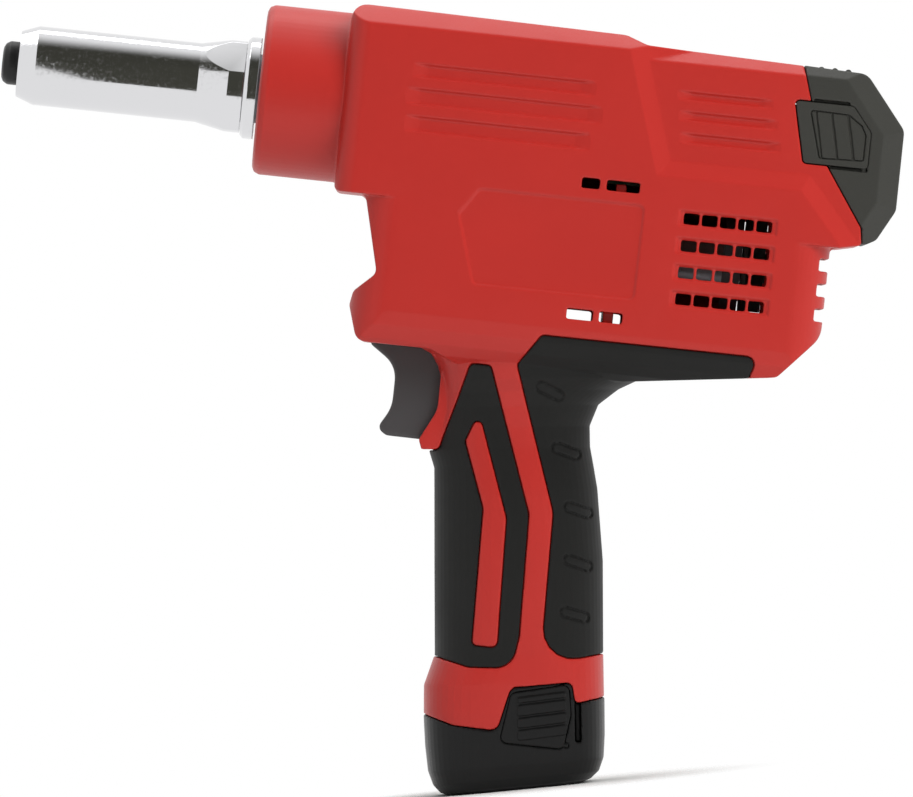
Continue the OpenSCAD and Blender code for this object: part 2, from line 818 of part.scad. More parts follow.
// Casing
module housing_shell() {
    side = 1;
    difference() {
        union() {
            outer_form(side);
            intersection() {
                union() {
                    collar_form();
                    side_plate(frame_outline, -15, 15);
                }
                half_space(side);
            }
        }
        difference() {
            housing_space();
            screw_posts();
            switch_shelves();
            rod_x(tube_back - 16, tube_back - 2, tube_boss_r);
        }
        rod_x(tube_back - 20, tube_back + 1, tube_r + run);
        trigger_slot();
        side_grooves();
        side_vents();
        both_sides()
            side_plate(panel_outline, body_half - panel_d, big);
        both_sides()
            side_plate(inset(tab_outline, -0.5), body_half - side_step - wall - 4, big);
        lamp_hole(lamp_r + run, 10);
        side_plate(split_outline, -big, big);
        difference() {
            union() {
                difference() {
                    side_plate(front_grip_outline, -big, big);
                    side_plate(inlay_outline, -big, big);
                }
                side_plate(rear_grip_outline, -big, big);
            }
            outer_form(side, grip_t);
        }
    }
}
module housing_left() {
    color(red_abs)
        stand()
            difference() {
                mirror([0, 1, 0])
                    housing_shell();
                screw_holes();
                left_slots();
            }
}
module housing_right() {
    color(red_abs)
        stand()
            difference() {
                housing_shell();
                screw_holes();
            }
}
module housing_screws() {
    color(steel)
        stand()
            for (p = screw_places)
                translate([p.x, 0, p.y])
                    rotate([-90, 0, 0]) {
                        translate([0, 0, -screw_tail])
                            cylinder(r = fastener_r, h = screw_tail + screw_seat);
                        translate([0, 0, screw_seat])
                            difference() {
                                cylinder(r = screw_head_r, h = 2.2);
                                translate([0, 0, 0.8])
                                    cylinder(r = 1.5, h = 3, $fn = 6);
                            }
                    }
}
module front_grip(side) {
    color(soft_black)
        stand()
            mirror([0, side > 0 ? 0 : 1, 0])
                grip_shape()
                    difference() {
                        side_plate(inset(front_grip_outline, grip_gap), -big, big);
                        side_plate(inset(inlay_outline, -grip_gap), -big, big);
                        trigger_slot();
                    }
}
module rear_grip(side) {
    color(soft_black)
        stand()
            mirror([0, side > 0 ? 0 : 1, 0])
                difference() {
                    grip_shape()
                        side_plate(inset(rear_grip_outline, grip_gap), -big, big);
                    difference() {
                        thumb_grooves();
                        outer_form(1, thumb_d);
                    }
                }
}
module grip_front_left() { front_grip(-1); }
module grip_front_right() { front_grip(1); }
module grip_rear_left() { rear_grip(-1); }
module grip_rear_right() { rear_grip(1); }

// Nose
module nosepiece() {
    color(soft_black)
        stand()
            turned([[nose_tip, mandrel_r], [nose_tip, nose_r - 2.4], [nose_tip + 0.7, nose_r - 0.9],
                [nose_tip + 2.2, nose_r], [sleeve_front, nose_r], [sleeve_front, rod_neck_r],
                [nose_tail, rod_neck_r], [nose_tail, mandrel_r]]);
}
module head_sleeve() {
    flare_start = sleeve_back - 15.2;
    flare_full = sleeve_back - 5.2;
    color(chrome)
        stand()
            difference() {
                union() {
                    turned([[sleeve_front, 0], [sleeve_front, sleeve_r - 2.2],
                        [sleeve_front + 5.8, sleeve_r], [flare_start, sleeve_r], [flare_start, 0]]);
                    intersection() {
                        turned([[flare_start, 0], [flare_start, sleeve_r], [flare_full, flare_r],
                            [sleeve_back - 0.6, flare_r], [sleeve_back, flare_r - 0.6],
                            [sleeve_back, 0]]);
                        translate([flare_start - 1, 0, 0])
                            rotate([0, 90, 0])
                                cylinder(d = flats_w / cos(45), h = sleeve_back - flare_start + 2, $fn = 4);
                    }
                }
                rod_x(sleeve_front - 1, sleeve_front + 9, rod_neck_r + run);
                rod_x(sleeve_front + 8, 1, jaw_case_r + clear);
                rod_x(boss_front - 0.5, 1, thread_r + run);
            }
}
module lock_ring() {
    r = lock_r;
    color(chrome)
        stand()
            difference() {
                turned([[-ring_t, 0], [-ring_t, r - 1.1], [-ring_t + 1.1, r], [-0.5, r], [0, r - 0.5],
                    [0, 0]]);
                rod_x(-ring_t - 1, 1, thread_r + run);
            }
}

// Pulling gear
module jaw_case() {
    color(steel)
        stand()
            turned([[jaw_front, cone_mouth], [jaw_front, jaw_case_r - 2], [jaw_front + 3, jaw_case_r],
                [jaw_case_back, jaw_case_r], [jaw_case_back, rod_neck_r + run],
                [rod_front + 1, rod_neck_r + run], [rod_front + 1, cone_r],
                [jaw_front + cone_len, cone_r]]);
}
module jaws() {
    gap = 0.15;
    back = jaw_front + 1 + jaw_len;
    color(steel)
        stand()
            difference() {
                turned([[jaw_front + 1, mandrel_r], [jaw_front + 1, cone_mouth + cone_slope - gap],
                    [back, cone_mouth + cone_slope * (1 + jaw_len) - gap], [back, mandrel_r]]);
                for (a = [0, 120, 240])
                    rotate([a, 0, 0])
                        translate([jaw_front, -0.25, 0])
                            cube([jaw_len + 2, 0.5, 20]);
            }
}
module jaw_pusher() {
    front = jaw_front + 1 + jaw_len;
    back = front + pusher_len;
    bore = mandrel_r + 0.2;
    color(steel)
        stand()
            turned([[front, bore], [front, cone_mouth + cone_slope * (1 + jaw_len) - clear],
                [jaw_front + cone_len, cone_r - clear], [back, cone_r - clear], [back, bore]]);
}
module jaw_spring() {
    color(steel)
        stand()
            coil_x(rod_front - spring_len + 0.2, spring_len - 0.4, 4.6, 0.6, 6);
}
module pull_rod() {
    color(steel)
        stand()
            difference() {
                turned([[rod_front, rod_bore], [rod_front, rod_neck_r], [jaw_case_back, rod_neck_r],
                    [jaw_case_back + 2, screw_r], [rod_back, screw_r], [rod_back, rod_bore]]);
                translate([pin_x, 0, 0])
                    rotate([90, 0, 0])
                        cylinder(r = pin_r, h = 40, center = true);
            }
}
module anti_turn_pin() {
    color(steel)
        stand()
            difference() {
                translate([pin_x, 0, 0])
                    rotate([90, 0, 0])
                        cylinder(r = pin_r, h = 2 * guide_r - 1, center = true);
                rod_x(pin_x - 5, pin_x + 5, rod_bore);
            }
}
module mandrel_tube() {
    color(brass)
        stand()
            ring_x(tube_front, tube_back, tube_r, tube_r - 0.5);
}
module ball_nut() {
    color(steel)
        stand()
            difference() {
                turned([[nut_front, 0], [nut_front, journal_r], [nut_front + journal_len, journal_r],
                    [nut_front + journal_len, nut_r], [nut_back - journal_len, nut_r],
                    [nut_back - journal_len, journal_r], [nut_back, journal_r], [nut_back, 0]]);
                rod_x(nut_front - 1, nut_back + 1, screw_r + run);
            }
}
module nut_gear() {
    color(steel)
        stand()
            difference() {
                gear_x(gear_front, gear_w, gear_points(nut_teeth, pair_m, addendum, dedendum, backlash),
                    180 / nut_teeth);
                rod_x(gear_front - 1, gear_front + gear_w + 1, nut_r);
            }
}
module nut_bearings() {
    color(steel)
        stand()
            for (x = [nut_front + 0.5, nut_back - journal_len + 0.5])
                ring_x(x, x + bearing_w, bearing_r, journal_r + run);
}

// Cast gear case, with a round barrel and a chamber for the gear pair
module case_lobes(x0, x1, upper, lower) {
    translate([x0, 0, 0])
        rotate([0, 90, 0])
            linear_extrude(x1 - x0) {
                circle(r = upper);
                translate([motor_drop, 0])
                    circle(r = lower);
                translate([motor_drop / 2 - 8, -lower + 5])
                    square([16, 2 * lower - 10]);
            }
}
module gear_case() {
    color(cast_alloy)
        stand()
            difference() {
                union() {
                    turned([[boss_front, 0], [boss_front, thread_r], [2, thread_r], [2, case_r],
                        [chamber_front, case_r], [chamber_front, 0]]);
                    case_lobes(chamber_front - 3, chamber_back, case_upper + case_skin,
                        case_lower + case_skin);
                    rod_x(chamber_front - 8, chamber_front, output_seat_r + 2.5, -motor_drop);
                }
                case_lobes(chamber_front, chamber_back + 1, case_upper, case_lower);
                rod_x(boss_front - 1, chamber_back, jaw_case_r + clear);
                rod_x(8, chamber_back, bearing_r - 2);
                rod_x(nut_front, nut_front + journal_len, bearing_r);
                rod_x(chamber_front - 7, chamber_back, output_seat_r, -motor_drop);
            }
}
module gear_cover() {
    plate_back = chamber_back + cover_t;
    seat_back = nut_back - journal_len + 0.5 + bearing_w;
    color(cast_alloy)
        stand()
            difference() {
                union() {
                    case_lobes(chamber_back, plate_back, case_upper + case_skin, case_lower + case_skin);
                    rod_x(chamber_back, seat_back + 3, bearing_r + 2.6);
                    rod_x(chamber_back, guide_back, guide_r);
                    rod_x(chamber_back, motor_x + spigot, gearbox_r, -motor_drop);
                }
                rod_x(chamber_back - 1, seat_back, bearing_r);
                rod_x(seat_back - 1, nut_back + clear, journal_r + clear);
                rod_x(chamber_back - 1, guide_back + 1, guide_bore);
                translate([pin_x - 3, -big, -pin_r - 0.1])
                    cube([stroke + 6, 2 * big, 2 * pin_r + 0.2]);
                rod_x(chamber_back - 1, plate_back, output_seat_r, -motor_drop);
                rod_x(plate_back, motor_x + 1, ring_out, -motor_drop);
                rod_x(motor_x, motor_x + spigot + 1, motor_r, -motor_drop);
            }
}

// Output shaft with its gear, and its bearings
module output_gear() {
    color(steel)
        stand()
            translate([0, 0, -motor_drop]) {
                gear_x(gear_front, gear_w,
                    gear_points(output_teeth, pair_m, addendum, dedendum, backlash), 180);
                rod_x(chamber_front - 6.5, gear_front, output_r);
                rod_x(gear_front + gear_w, second_x - 3, output_r);
            }
}
module output_bearings() {
    color(steel)
        stand()
            for (x = [chamber_front - 7, chamber_back])
                ring_x(x, x + 5, output_seat_r, output_r + run, -motor_drop);
}

// Planetary stages
module ring_gear() {
    color(steel)
        stand()
            translate([0, 0, -motor_drop])
                difference() {
                    rod_x(second_x - 1, first_x + planet_w + 3, ring_out);
                    gear_x(second_x - 2, first_x - second_x + planet_w + 6,
                        gear_points(ring_teeth, planet_m, dedendum, addendum, -backlash));
                }
}
module sun_gear(x0, width) {
    gear_x(x0, width, gear_points(sun_teeth, planet_m, addendum, dedendum, backlash));
}
module carrier(plate_x, planet_x) {
    plate_t = 2.4;
    ring_x(plate_x, plate_x + plate_t, planet_orbit + 3.2, shaft_r - 1);
    for (a = [0, 120, 240])
        rotate([-a, 0, 0])
            rod_x(plate_x + plate_t / 2, planet_x + planet_w + 0.6, planet_bore, -planet_orbit);
}
module planet(x0, index) {
    color(steel)
        stand()
            translate([0, 0, -motor_drop])
                rotate([-120 * index, 0, 0])
                    translate([0, 0, -planet_orbit])
                        difference() {
                            gear_x(x0, planet_w,
                                gear_points(planet_teeth, planet_m, addendum, dedendum, backlash));
                            rod_x(x0 - 1, x0 + planet_w + 1, planet_bore + run);
                        }
}
module carrier_second() {
    color(steel)
        stand()
            translate([0, 0, -motor_drop])
                carrier(second_x - 3, second_x);
}
module carrier_first() {
    color(steel)
        stand()
            translate([0, 0, -motor_drop]) {
                carrier(first_x - 3.4, first_x);
                sun_gear(second_x, first_x - 3.4 - second_x);
                rod_x(first_x - 3.5, first_x - 1, shaft_r);
            }
}
module planet_first_a() { planet(first_x, 0); }
module planet_first_b() { planet(first_x, 1); }
module planet_first_c() { planet(first_x, 2); }
module planet_second_a() { planet(second_x, 0); }
module planet_second_b() { planet(second_x, 1); }
module planet_second_c() { planet(second_x, 2); }
module sun_pinion() {
    color(steel)
        stand()
            translate([0, 0, -motor_drop])
                difference() {
                    sun_gear(first_x, planet_w + 1);
                    rod_x(first_x - 1, first_x + planet_w + 2, shaft_r);
                }
}

// Motor
module motor_can() {
    color(steel)
        stand()
            difference() {
                rod_x(motor_x, motor_back, motor_r, -motor_drop);
                rod_x(motor_x + motor_bearing_w, motor_back + 1, motor_r - can_t, -motor_drop);
                rod_x(motor_x - 1, motor_x + motor_bearing_w + 1, motor_seat_r, -motor_drop);
            }
}
module motor_magnets() {
    color(soft_black)
        stand()
            difference() {
                ring_x(motor_x + 6, motor_back - 8, motor_r - can_t - run, motor_r - 4.2, -motor_drop);
                translate([motor_x, -3, -big])
                    cube([motor_len, 6, 2 * big]);
            }
}
module motor_cap() {
    color(soft_black)
        stand()
            difference() {
                rod_x(motor_back, motor_back + cap_t, motor_r - 0.6, -motor_drop);
                rod_x(motor_back - 1, motor_back + cap_t + 1, motor_seat_r, -motor_drop);
            }
}
module motor_bearings() {
    color(steel)
        stand()
            for (x = [motor_x, motor_back + 1])
                ring_x(x, x + motor_bearing_w, motor_seat_r, shaft_r + run, -motor_drop);
}
module motor_shaft() {
    color(steel)
        stand()
            rod_x(first_x, fan_x + fan_w, shaft_r, -motor_drop);
}
module rotor_core() {
    core_r = motor_r - 4.7;
    color(copper)
        stand()
            translate([0, 0, -motor_drop])
                difference() {
                    union() {
                        rod_x(motor_x + 8, motor_back - 12, core_r);
                        rod_x(motor_back - 12, motor_back - 2, 5);
                    }
                    rod_x(motor_x, motor_back, shaft_r);
                    for (a = [0:72:359])
                        rotate([a, 0, 0])
                            translate([motor_x + 7, -1, core_r - 4])
                                cube([motor_len - 19.5, 2, 6]);
                }
}
module fan() {
    disc_t = 1.4;
    color(soft_black)
        stand()
            translate([fan_x, 0, -motor_drop])
                difference() {
                    union() {
                        rod_x(0, fan_w, shaft_r + 3);
                        rod_x(0, disc_t, fan_r);
                        for (i = [0:fan_blades - 1])
                            rotate([360 * i / fan_blades, 0, 0])
                                translate([disc_t / 2, -0.6, shaft_r + 2])
                                    cube([fan_w - disc_t, 1.2, fan_r - shaft_r - 3]);
                    }
                    rod_x(-1, fan_w + 1, shaft_r);
                }
}

// Trigger and what it works
module trigger() {
    color(trigger_grey)
        stand()
            difference() {
                union() {
                    side_plate(trigger_outline, -trigger_half, trigger_half);
                    translate([trigger_back - flange_t, -trigger_half - flange_w, flange_low])
                        cube([flange_t, 2 * (trigger_half + flange_w), flange_h]);
                }
                rod_x(trigger_back - trigger_travel - 1, trigger_back + 1, plunger_r + clear, plunger_z);
            }
}
module trigger_spring() {
    ends = 0.2;
    color(steel)
        stand()
            translate([0, 0, plunger_z])
                coil_x(trigger_back + ends, switch_x - trigger_back - 2 * ends, plunger_r + 1.4, 0.5, 4);
}
module trigger_switch() {
    color(soft_black)
        stand() {
            translate([switch_x, -switch_size.y / 2, switch_low])
                cube(switch_size);
            rod_x(trigger_back + 0.5, switch_x, plunger_r, plunger_z);
        }
}
module control_board() {
    z = -motor_drop + motor_r + rib_over;
    size = [28, 36, 1.6];
    color(board_green)
        stand() {
            translate([motor_ribs[0] - 4, -size.y / 2, z])
                cube(size);
            for (x = [0, 12], y = [-12, 3])
                translate([motor_ribs[0] + x, y, z + size.z])
                    cube([8, 9, 3]);
        }
}
module terminal_block() {
    color(soft_black)
        stand()
            in_handle() {
                translate([-10, -handle_room, stem_top + 3.2])
                    cube([20, 2 * handle_room, 7]);
                for (y = [-blade_step, 0, blade_step])
                    translate([-6, y - blade_t / 2, stem_top - 7])
                        cube([12, blade_t, 11]);
            }
}
module lamp_lens() {
    color(clear_lens)
        stand()
            lamp_hole(lamp_r, -0.4);
}

// Collector
module tab_gap(grow) {
    side_plate(inset(tab_outline, -grow), body_half - side_step - tab_depth, big);
}
module tab_slits() {
    for (slit = [upper_slit, lower_slit])
        side_plate(slit, body_half - side_step - tab_slit_d, big);
}
module tab_pivot(r, out) {
    translate([tab_back - 1, body_half - side_step - 1.7, tab_low - out])
        cylinder(r = r, h = 6 - tab_low + 2 * out);
}
module collector_chamfer(p, q) {
    half = body_half - side_step;
    along = atan2(q.y - p.y, q.x - p.x);
    translate([p.x, -half + chamfer_in, p.y])
        rotate([0, -along, 0])
            rotate([chamfer_angle, 0, 0])
                translate([-big, -big, -big / 2])
                    cube([2 * big, big, big]);
}
module collector() {
    half = body_half - side_step;
    lip = half - wall - clear;
    color(collector_black)
        stand()
            difference() {
                union() {
                    intersection() {
                        side_plate(collector_outline, -half, half);
                        body_section(half, body_top - 3.8, edge_round - 2);
                    }
                    for (x = ridge_places)
                        translate([x, -ridge_half, body_top - 4.7 - ridge_r])
                            rotate([-90, 0, 0])
                                cylinder(r = ridge_r, h = 2 * ridge_half, $fn = 24);
                    difference() {
                        intersection() {
                            side_plate(inset(mouth_outline, clear), -lip, lip);
                            translate([175, -big, -big])
                                cube([26, 2 * big, 2 * big]);
                        }
                        both_sides()
                            side_plate(inset(tab_outline, -1.2), lip - 3, big);
                    }
                }
                side_plate(collector_space, -lip + lip_t, lip - lip_t);
                both_sides() {
                    for (i = [5:7])
                        collector_chamfer(collector_outline[i], collector_outline[i + 1]);
                    tab_gap(clear);
                    tab_slits();
                    tab_pivot(pivot_r + run, pivot_out + clear);
                }
            }
}
module collector_tab(side) {
    half = body_half - side_step;
    color(collector_black)
        stand()
            mirror([0, side > 0 ? 0 : 1, 0]) {
                difference() {
                    side_plate(tab_outline, half - tab_t, half - 0.1);
                    side_plate(tab_field, half - 1, big);
                }
                tab_pivot(pivot_r, pivot_out);
                intersection() {
                    side_plate(inset(tab_field, 0.6), half - tab_t, half - 0.3);
                    for (x = tab_bars)
                        translate([x, half - tab_t, tab_bar_z])
                            rotate([0, -tab_bar_tilt, 0])
                                translate([-tab_bar_w / 2, 0, -20])
                                    cube([tab_bar_w, tab_t, 40]);
                }
            }
}
module collector_tab_left() { collector_tab(-1); }
module collector_tab_right() { collector_tab(1); }

// Battery
module battery_form(d) {
    for (side = [-1, 1])
        handle_form(side, d);
}
module latch_pivot(r, out) {
    translate([latch_front.x - out, latch_y, latch_front.y + 1.2])
        rotate([0, 90, 0])
            cylinder(r = r, h = latch_back.x - latch_front.x + 2 * out);
}
module battery_base() {
    color(battery_black)
        stand()
            difference() {
                intersection() {
                    battery_form(0);
                    side_plate(inset(split_outline, 0.4), -big, big);
                }
                stem_form(stem_wall + 0.1, base_floor, stem_top);
                both_sides() {
                    side_plate(inset(latch_outline, -clear), 20.6, big);
                    latch_pivot(pivot_r + run, pivot_out + clear);
                    in_handle()
                        translate(latch_slit)
                            cube(latch_slit_size);
                }
            }
}
module battery_latch(side) {
    color(battery_black)
        stand() {
            intersection() {
                handle_form(side);
                mirror([0, side > 0 ? 0 : 1, 0])
                    side_plate(latch_outline, latch_in, big);
            }
            intersection() {
                handle_form(side, -0.5);
                mirror([0, side > 0 ? 0 : 1, 0])
                    for (bar = latch_bars)
                        side_plate(latch_bar_outline(bar), latch_in, big);
            }
            mirror([0, side > 0 ? 0 : 1, 0])
                latch_pivot(pivot_r, pivot_out);
        }
}
module battery_latch_left() { battery_latch(-1); }
module battery_latch_right() { battery_latch(1); }
module battery_stem() {
    color(battery_black)
        stand()
            difference() {
                stem_form(stem_wall, base_floor, stem_top);
                stem_form(0.1, cell_floor - 1, stem_top - 2);
                in_handle()
                    for (y = [-blade_step, 0, blade_step])
                        translate([-7, y - blade_t / 2 - clear, stem_top - 3])
                            cube([14, blade_t + 2 * clear, 4]);
            }
}
module battery_cells() {
    color(cell_wrap)
        stand()
            in_handle()
                for (p = [[cell_front, 0], [cell_rear, cell_side], [cell_rear, -cell_side]])
                    translate([p.x, p.y, cell_floor - 1])
                        cylinder(r = cell_r, h = cell_len);
}
module battery_board() {
    color(board_green)
        stand()
            stem_form(-1, cell_top - 0.8, cell_top + 0.8);
}
module battery_contacts() {
    color(brass)
        stand()
            in_handle()
                for (y = [-blade_step, 0, blade_step], side = [-1, 1])
                    translate([-5, y + side * (blade_t + clear) - blade_t / 2, cell_top + 0.8])
                        cube([10, blade_t, contact_h]);
}

housing_left();
housing_right();
housing_screws();
grip_front_left();
grip_front_right();
grip_rear_left();
grip_rear_right();
nosepiece();
head_sleeve();
lock_ring();
jaw_case();
jaws();
jaw_pusher();
jaw_spring();
pull_rod();
anti_turn_pin();
mandrel_tube();
ball_nut();
nut_gear();
nut_bearings();
gear_case();
gear_cover();
output_gear();
output_bearings();
ring_gear();
carrier_first();
planet_first_a();
planet_first_b();
planet_first_c();
carrier_second();
planet_second_a();
planet_second_b();
planet_second_c();
sun_pinion();
motor_can();
motor_magnets();
motor_cap();
motor_bearings();
motor_shaft();
rotor_core();
fan();
trigger();
trigger_spring();
trigger_switch();
control_board();
terminal_block();
lamp_lens();
collector();
collector_tab_left();
collector_tab_right();
battery_base();
battery_stem();
battery_cells();
battery_board();
battery_contacts();
battery_latch_left();
battery_latch_right();
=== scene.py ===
"""Looks of a battery rivet tool, dressed over its CAD frame as a small add-on."""

import json
import math

import bmesh
import bpy
from bpy.props import FloatProperty, FloatVectorProperty, IntProperty, PointerProperty
from mathutils import Matrix, Vector

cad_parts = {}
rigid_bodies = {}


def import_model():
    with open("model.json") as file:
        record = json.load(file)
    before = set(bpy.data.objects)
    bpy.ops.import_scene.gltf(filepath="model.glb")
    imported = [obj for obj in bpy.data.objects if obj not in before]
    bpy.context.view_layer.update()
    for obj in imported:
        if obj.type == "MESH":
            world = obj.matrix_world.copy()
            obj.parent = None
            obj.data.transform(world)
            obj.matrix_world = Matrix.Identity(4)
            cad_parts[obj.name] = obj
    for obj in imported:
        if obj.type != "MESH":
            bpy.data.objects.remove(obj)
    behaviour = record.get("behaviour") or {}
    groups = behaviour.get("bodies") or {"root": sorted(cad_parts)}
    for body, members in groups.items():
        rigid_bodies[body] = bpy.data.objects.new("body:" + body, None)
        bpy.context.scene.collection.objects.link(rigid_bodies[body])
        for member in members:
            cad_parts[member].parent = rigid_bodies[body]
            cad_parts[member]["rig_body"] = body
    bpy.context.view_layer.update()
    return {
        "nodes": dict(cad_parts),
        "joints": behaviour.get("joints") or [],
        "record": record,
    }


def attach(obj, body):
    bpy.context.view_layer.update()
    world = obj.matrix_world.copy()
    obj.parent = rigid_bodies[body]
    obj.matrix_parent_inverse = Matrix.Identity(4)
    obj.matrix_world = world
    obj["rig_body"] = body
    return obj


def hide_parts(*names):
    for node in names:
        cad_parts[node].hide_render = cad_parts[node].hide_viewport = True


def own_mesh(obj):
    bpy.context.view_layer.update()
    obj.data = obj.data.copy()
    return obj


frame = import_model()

bl_info = {
    "name": "Battery Rivet Tool",
    "version": (1, 0, 0),
    "blender": (4, 5, 0),
    "location": "View3D > Sidebar > Rivet Tool",
    "description": "Builds the visible pieces and finishes of a battery rivet tool",
    "category": "Add Mesh",
}

MM = 0.001
JOINTS = {joint["name"]: joint for joint in frame["joints"]}
SLOTS = {part["node"]: part["material_slot"] for part in frame["record"]["subparts"]}

# The floor: half its width, its drop below the tool, and the reach over which it runs out into white
FLOOR_HALF = 6
FLOOR_DROP = 0.3 * MM
FLOOR_REACH = (30 * MM, 90 * MM)
# The dark card, a painted reflection that only mirrors see: its upper end and the span in which its painted
# white rises, in degrees above level, and its length
CARD_HIGH = 108
CARD_LIT = (58, 100)
CARD_LENGTH = 3
CARD_STEPS = 48
# Place and size of each softbox
SOFTBOXES = {
    "Top softbox": ((0, 0.15, 1.3), 1.1),
    "Front softbox": ((0.9, -1.0, 0.85), 0.9),
}
# Points of a mesh that are closer than this become one
WELD = 0.001 * MM

# The barrel's own frame: its axis runs to the rear, and its zero is the rear face of the lock ring
BACK = Vector(JOINTS["pull_slide"]["axis"])
ACROSS = Vector((0, 1, 0))
UP = BACK.cross(ACROSS)
ON_AXIS = Vector(JOINTS["nut_spin"]["pos_m"])


def reach(node):
    """Lowest and highest place of a CAD node along the barrel, in metres."""
    places = [vertex.co.dot(BACK) for vertex in frame["nodes"][node].data.vertices]
    return min(places), max(places)


ZERO = ON_AXIS + BACK * (reach("lock_ring")[1] - ON_AXIS.dot(BACK))


def on_barrel(x, y, z):
    """A place in the barrel's frame, in metres, as a place in the part's frame."""
    return ZERO + BACK * x + ACROSS * y + UP * z


def linear(code):
    """Linear RGB of an sRGB hex colour."""
    parts = [int(code[i:i + 2], 16) / 255 for i in (1, 3, 5)]
    return tuple(c / 12.92 if c <= 0.04045 else ((c + 0.055) / 1.055) ** 2.4 for c in parts)


# Sizes and colours that a user would change

class RivetToolSizes(bpy.types.PropertyGroup):
    """Sizes of the pieces that are made here."""

    housing_skin: FloatProperty(
        name="Housing skin", description="Fineness of the housing's skin, which sets its edge rounding",
        default=0.38 * MM, min=0.3 * MM, max=2 * MM, unit="LENGTH")
    panel_skin: FloatProperty(
        name="Panel skin", description="Fineness of the skin of the grips, collector and battery",
        default=0.35 * MM, min=0.2 * MM, max=2 * MM, unit="LENGTH")
    fine_skin: FloatProperty(
        name="Fine skin", description="Fineness of the skin of the press tabs and latches",
        default=0.2 * MM, min=0.1 * MM, max=1 * MM, unit="LENGTH")
    edge_ease: IntProperty(
        name="Edge easing", description="Passes of smoothing over the moulded edges", default=3, min=0, max=12)
    trigger_ease: IntProperty(
        name="Trigger easing", description="Passes of smoothing over the trigger", default=30, min=0, max=80)
    seam_growth: FloatProperty(
        name="Seam growth", description="How far the plastic closes the seams round tabs and latches",
        default=0.13 * MM, min=0, max=0.14 * MM, unit="LENGTH")
    face_limit: IntProperty(
        name="Face limit", description="Most triangles that a moulded piece keeps", default=170000, min=1000)
    sleeve_radius: FloatProperty(
        name="Sleeve radius", description="Radius of the head sleeve", default=13.2 * MM, unit="LENGTH")
    sleeve_taper: FloatProperty(
        name="Sleeve taper", description="Length of the tapered front of the sleeve",
        default=5.8 * MM, unit="LENGTH")
    flare_radius: FloatProperty(
        name="Flare radius", description="Radius of the sleeve's rear end", default=15.3 * MM, unit="LENGTH")
    flats_width: FloatProperty(
        name="Key flats", description="Width across the four key flats", default=27.2 * MM, unit="LENGTH")
    ring_radius: FloatProperty(
        name="Lock ring radius", description="Radius of the lock ring", default=17 * MM, unit="LENGTH")
    nose_radius: FloatProperty(
        name="Nosepiece radius", description="Radius of the nosepiece", default=7.25 * MM, unit="LENGTH")
    mandrel_radius: FloatProperty(
        name="Mandrel bore", description="Radius of the bore in the nosepiece",
        default=1.65 * MM, unit="LENGTH")
    turned_steps: IntProperty(
        name="Turning steps", description="Steps round a turned piece", default=128, min=24, max=256)


class RivetToolColours(bpy.types.PropertyGroup):
    """Base colours of the finishes."""

    red: FloatVectorProperty(
        name="Housing red", description="Colour of the moulded housing", subtype="COLOR",
        default=linear("#BC2A23"))
    grip: FloatVectorProperty(
        name="Grip black", description="Colour of the soft grip panels", subtype="COLOR",
        default=linear("#1C1C1B"))
    trigger: FloatVectorProperty(
        name="Trigger grey", description="Colour of the trigger", subtype="COLOR",
        default=linear("#454344"))
    collector: FloatVectorProperty(
        name="Collector black", description="Colour of the mandrel collector", subtype="COLOR",
        default=linear("#393935"))
    battery: FloatVectorProperty(
        name="Battery black", description="Colour of the battery's shell", subtype="COLOR",
        default=linear("#141414"))
    chrome: FloatVectorProperty(
        name="Chrome", description="Colour of the chrome plate", subtype="COLOR",
        default=linear("#DCDCDE"))
    floor: FloatVectorProperty(
        name="Floor", description="Colour of the floor", subtype="COLOR", default=linear("#F4F4F2"))


class RivetToolStage(bpy.types.PropertyGroup):
    """Camera and light."""

    camera_distance: FloatProperty(
        name="Camera distance", description="From the camera to the tool's middle plane",
        default=5, unit="LENGTH")
    view_width: FloatProperty(
        name="View width", description="Width that the picture shows at the tool's middle plane",
        default=304.33 * MM, unit="LENGTH")
    camera_roll: FloatProperty(
        name="Camera roll", description="Turn of the camera about its own line of sight",
        default=math.radians(-5.5), subtype="ANGLE")
    aim: FloatVectorProperty(
        name="Aim", description="Place that the middle of the picture shows", subtype="TRANSLATION",
        unit="LENGTH", default=(-8.8 * MM, 0, 131 * MM))
    card_left: FloatProperty(
        name="Card's left end", description="Where the dark card starts, from the lock ring along the barrel",
        default=-112 * MM, unit="LENGTH")
    card_radius: FloatProperty(
        name="Card radius", description="From the barrel to the dark card", default=340 * MM, unit="LENGTH")
    card_low: FloatProperty(
        name="Card's lower edge", description="Degrees by which the card reaches below the barrel",
        default=28, min=0, max=60)
    sky: FloatProperty(
        name="Sky", description="Strength of the even light from all round", default=0.34, min=0)
    top_power: FloatProperty(
        name="Top light", description="Power of the softbox above the tool", default=8, unit="POWER")
    front_power: FloatProperty(
        name="Front light", description="Power of the softbox beside the camera", default=15, unit="POWER")


# Nodes of a material

def blank(name):
    """A new material and its empty node tree."""
    material = bpy.data.materials.new(name)
    material.use_nodes = True
    material.node_tree.nodes.clear()
    return material, material.node_tree


def add(tree, kind, inputs=None, **settings):
    """Adds a node with its settings, and fills its sockets with values or links."""
    node = tree.nodes.new(kind)
    for name, value in settings.items():
        setattr(node, name, value)
    for name, value in (inputs or {}).items():
        if isinstance(value, bpy.types.NodeSocket):
            tree.links.new(value, node.inputs[name])
        else:
            node.inputs[name].default_value = value
    return node


def grain(size):
    """Scale of a pattern whose features are about so many millimetres wide."""
    return 1 / (size * MM)


def shade(colour, share):
    """A colour made darker or lighter by a share, with its alpha."""
    return (*[min(1, c * share) for c in colour], 1)


# Finishes, each named for the real material

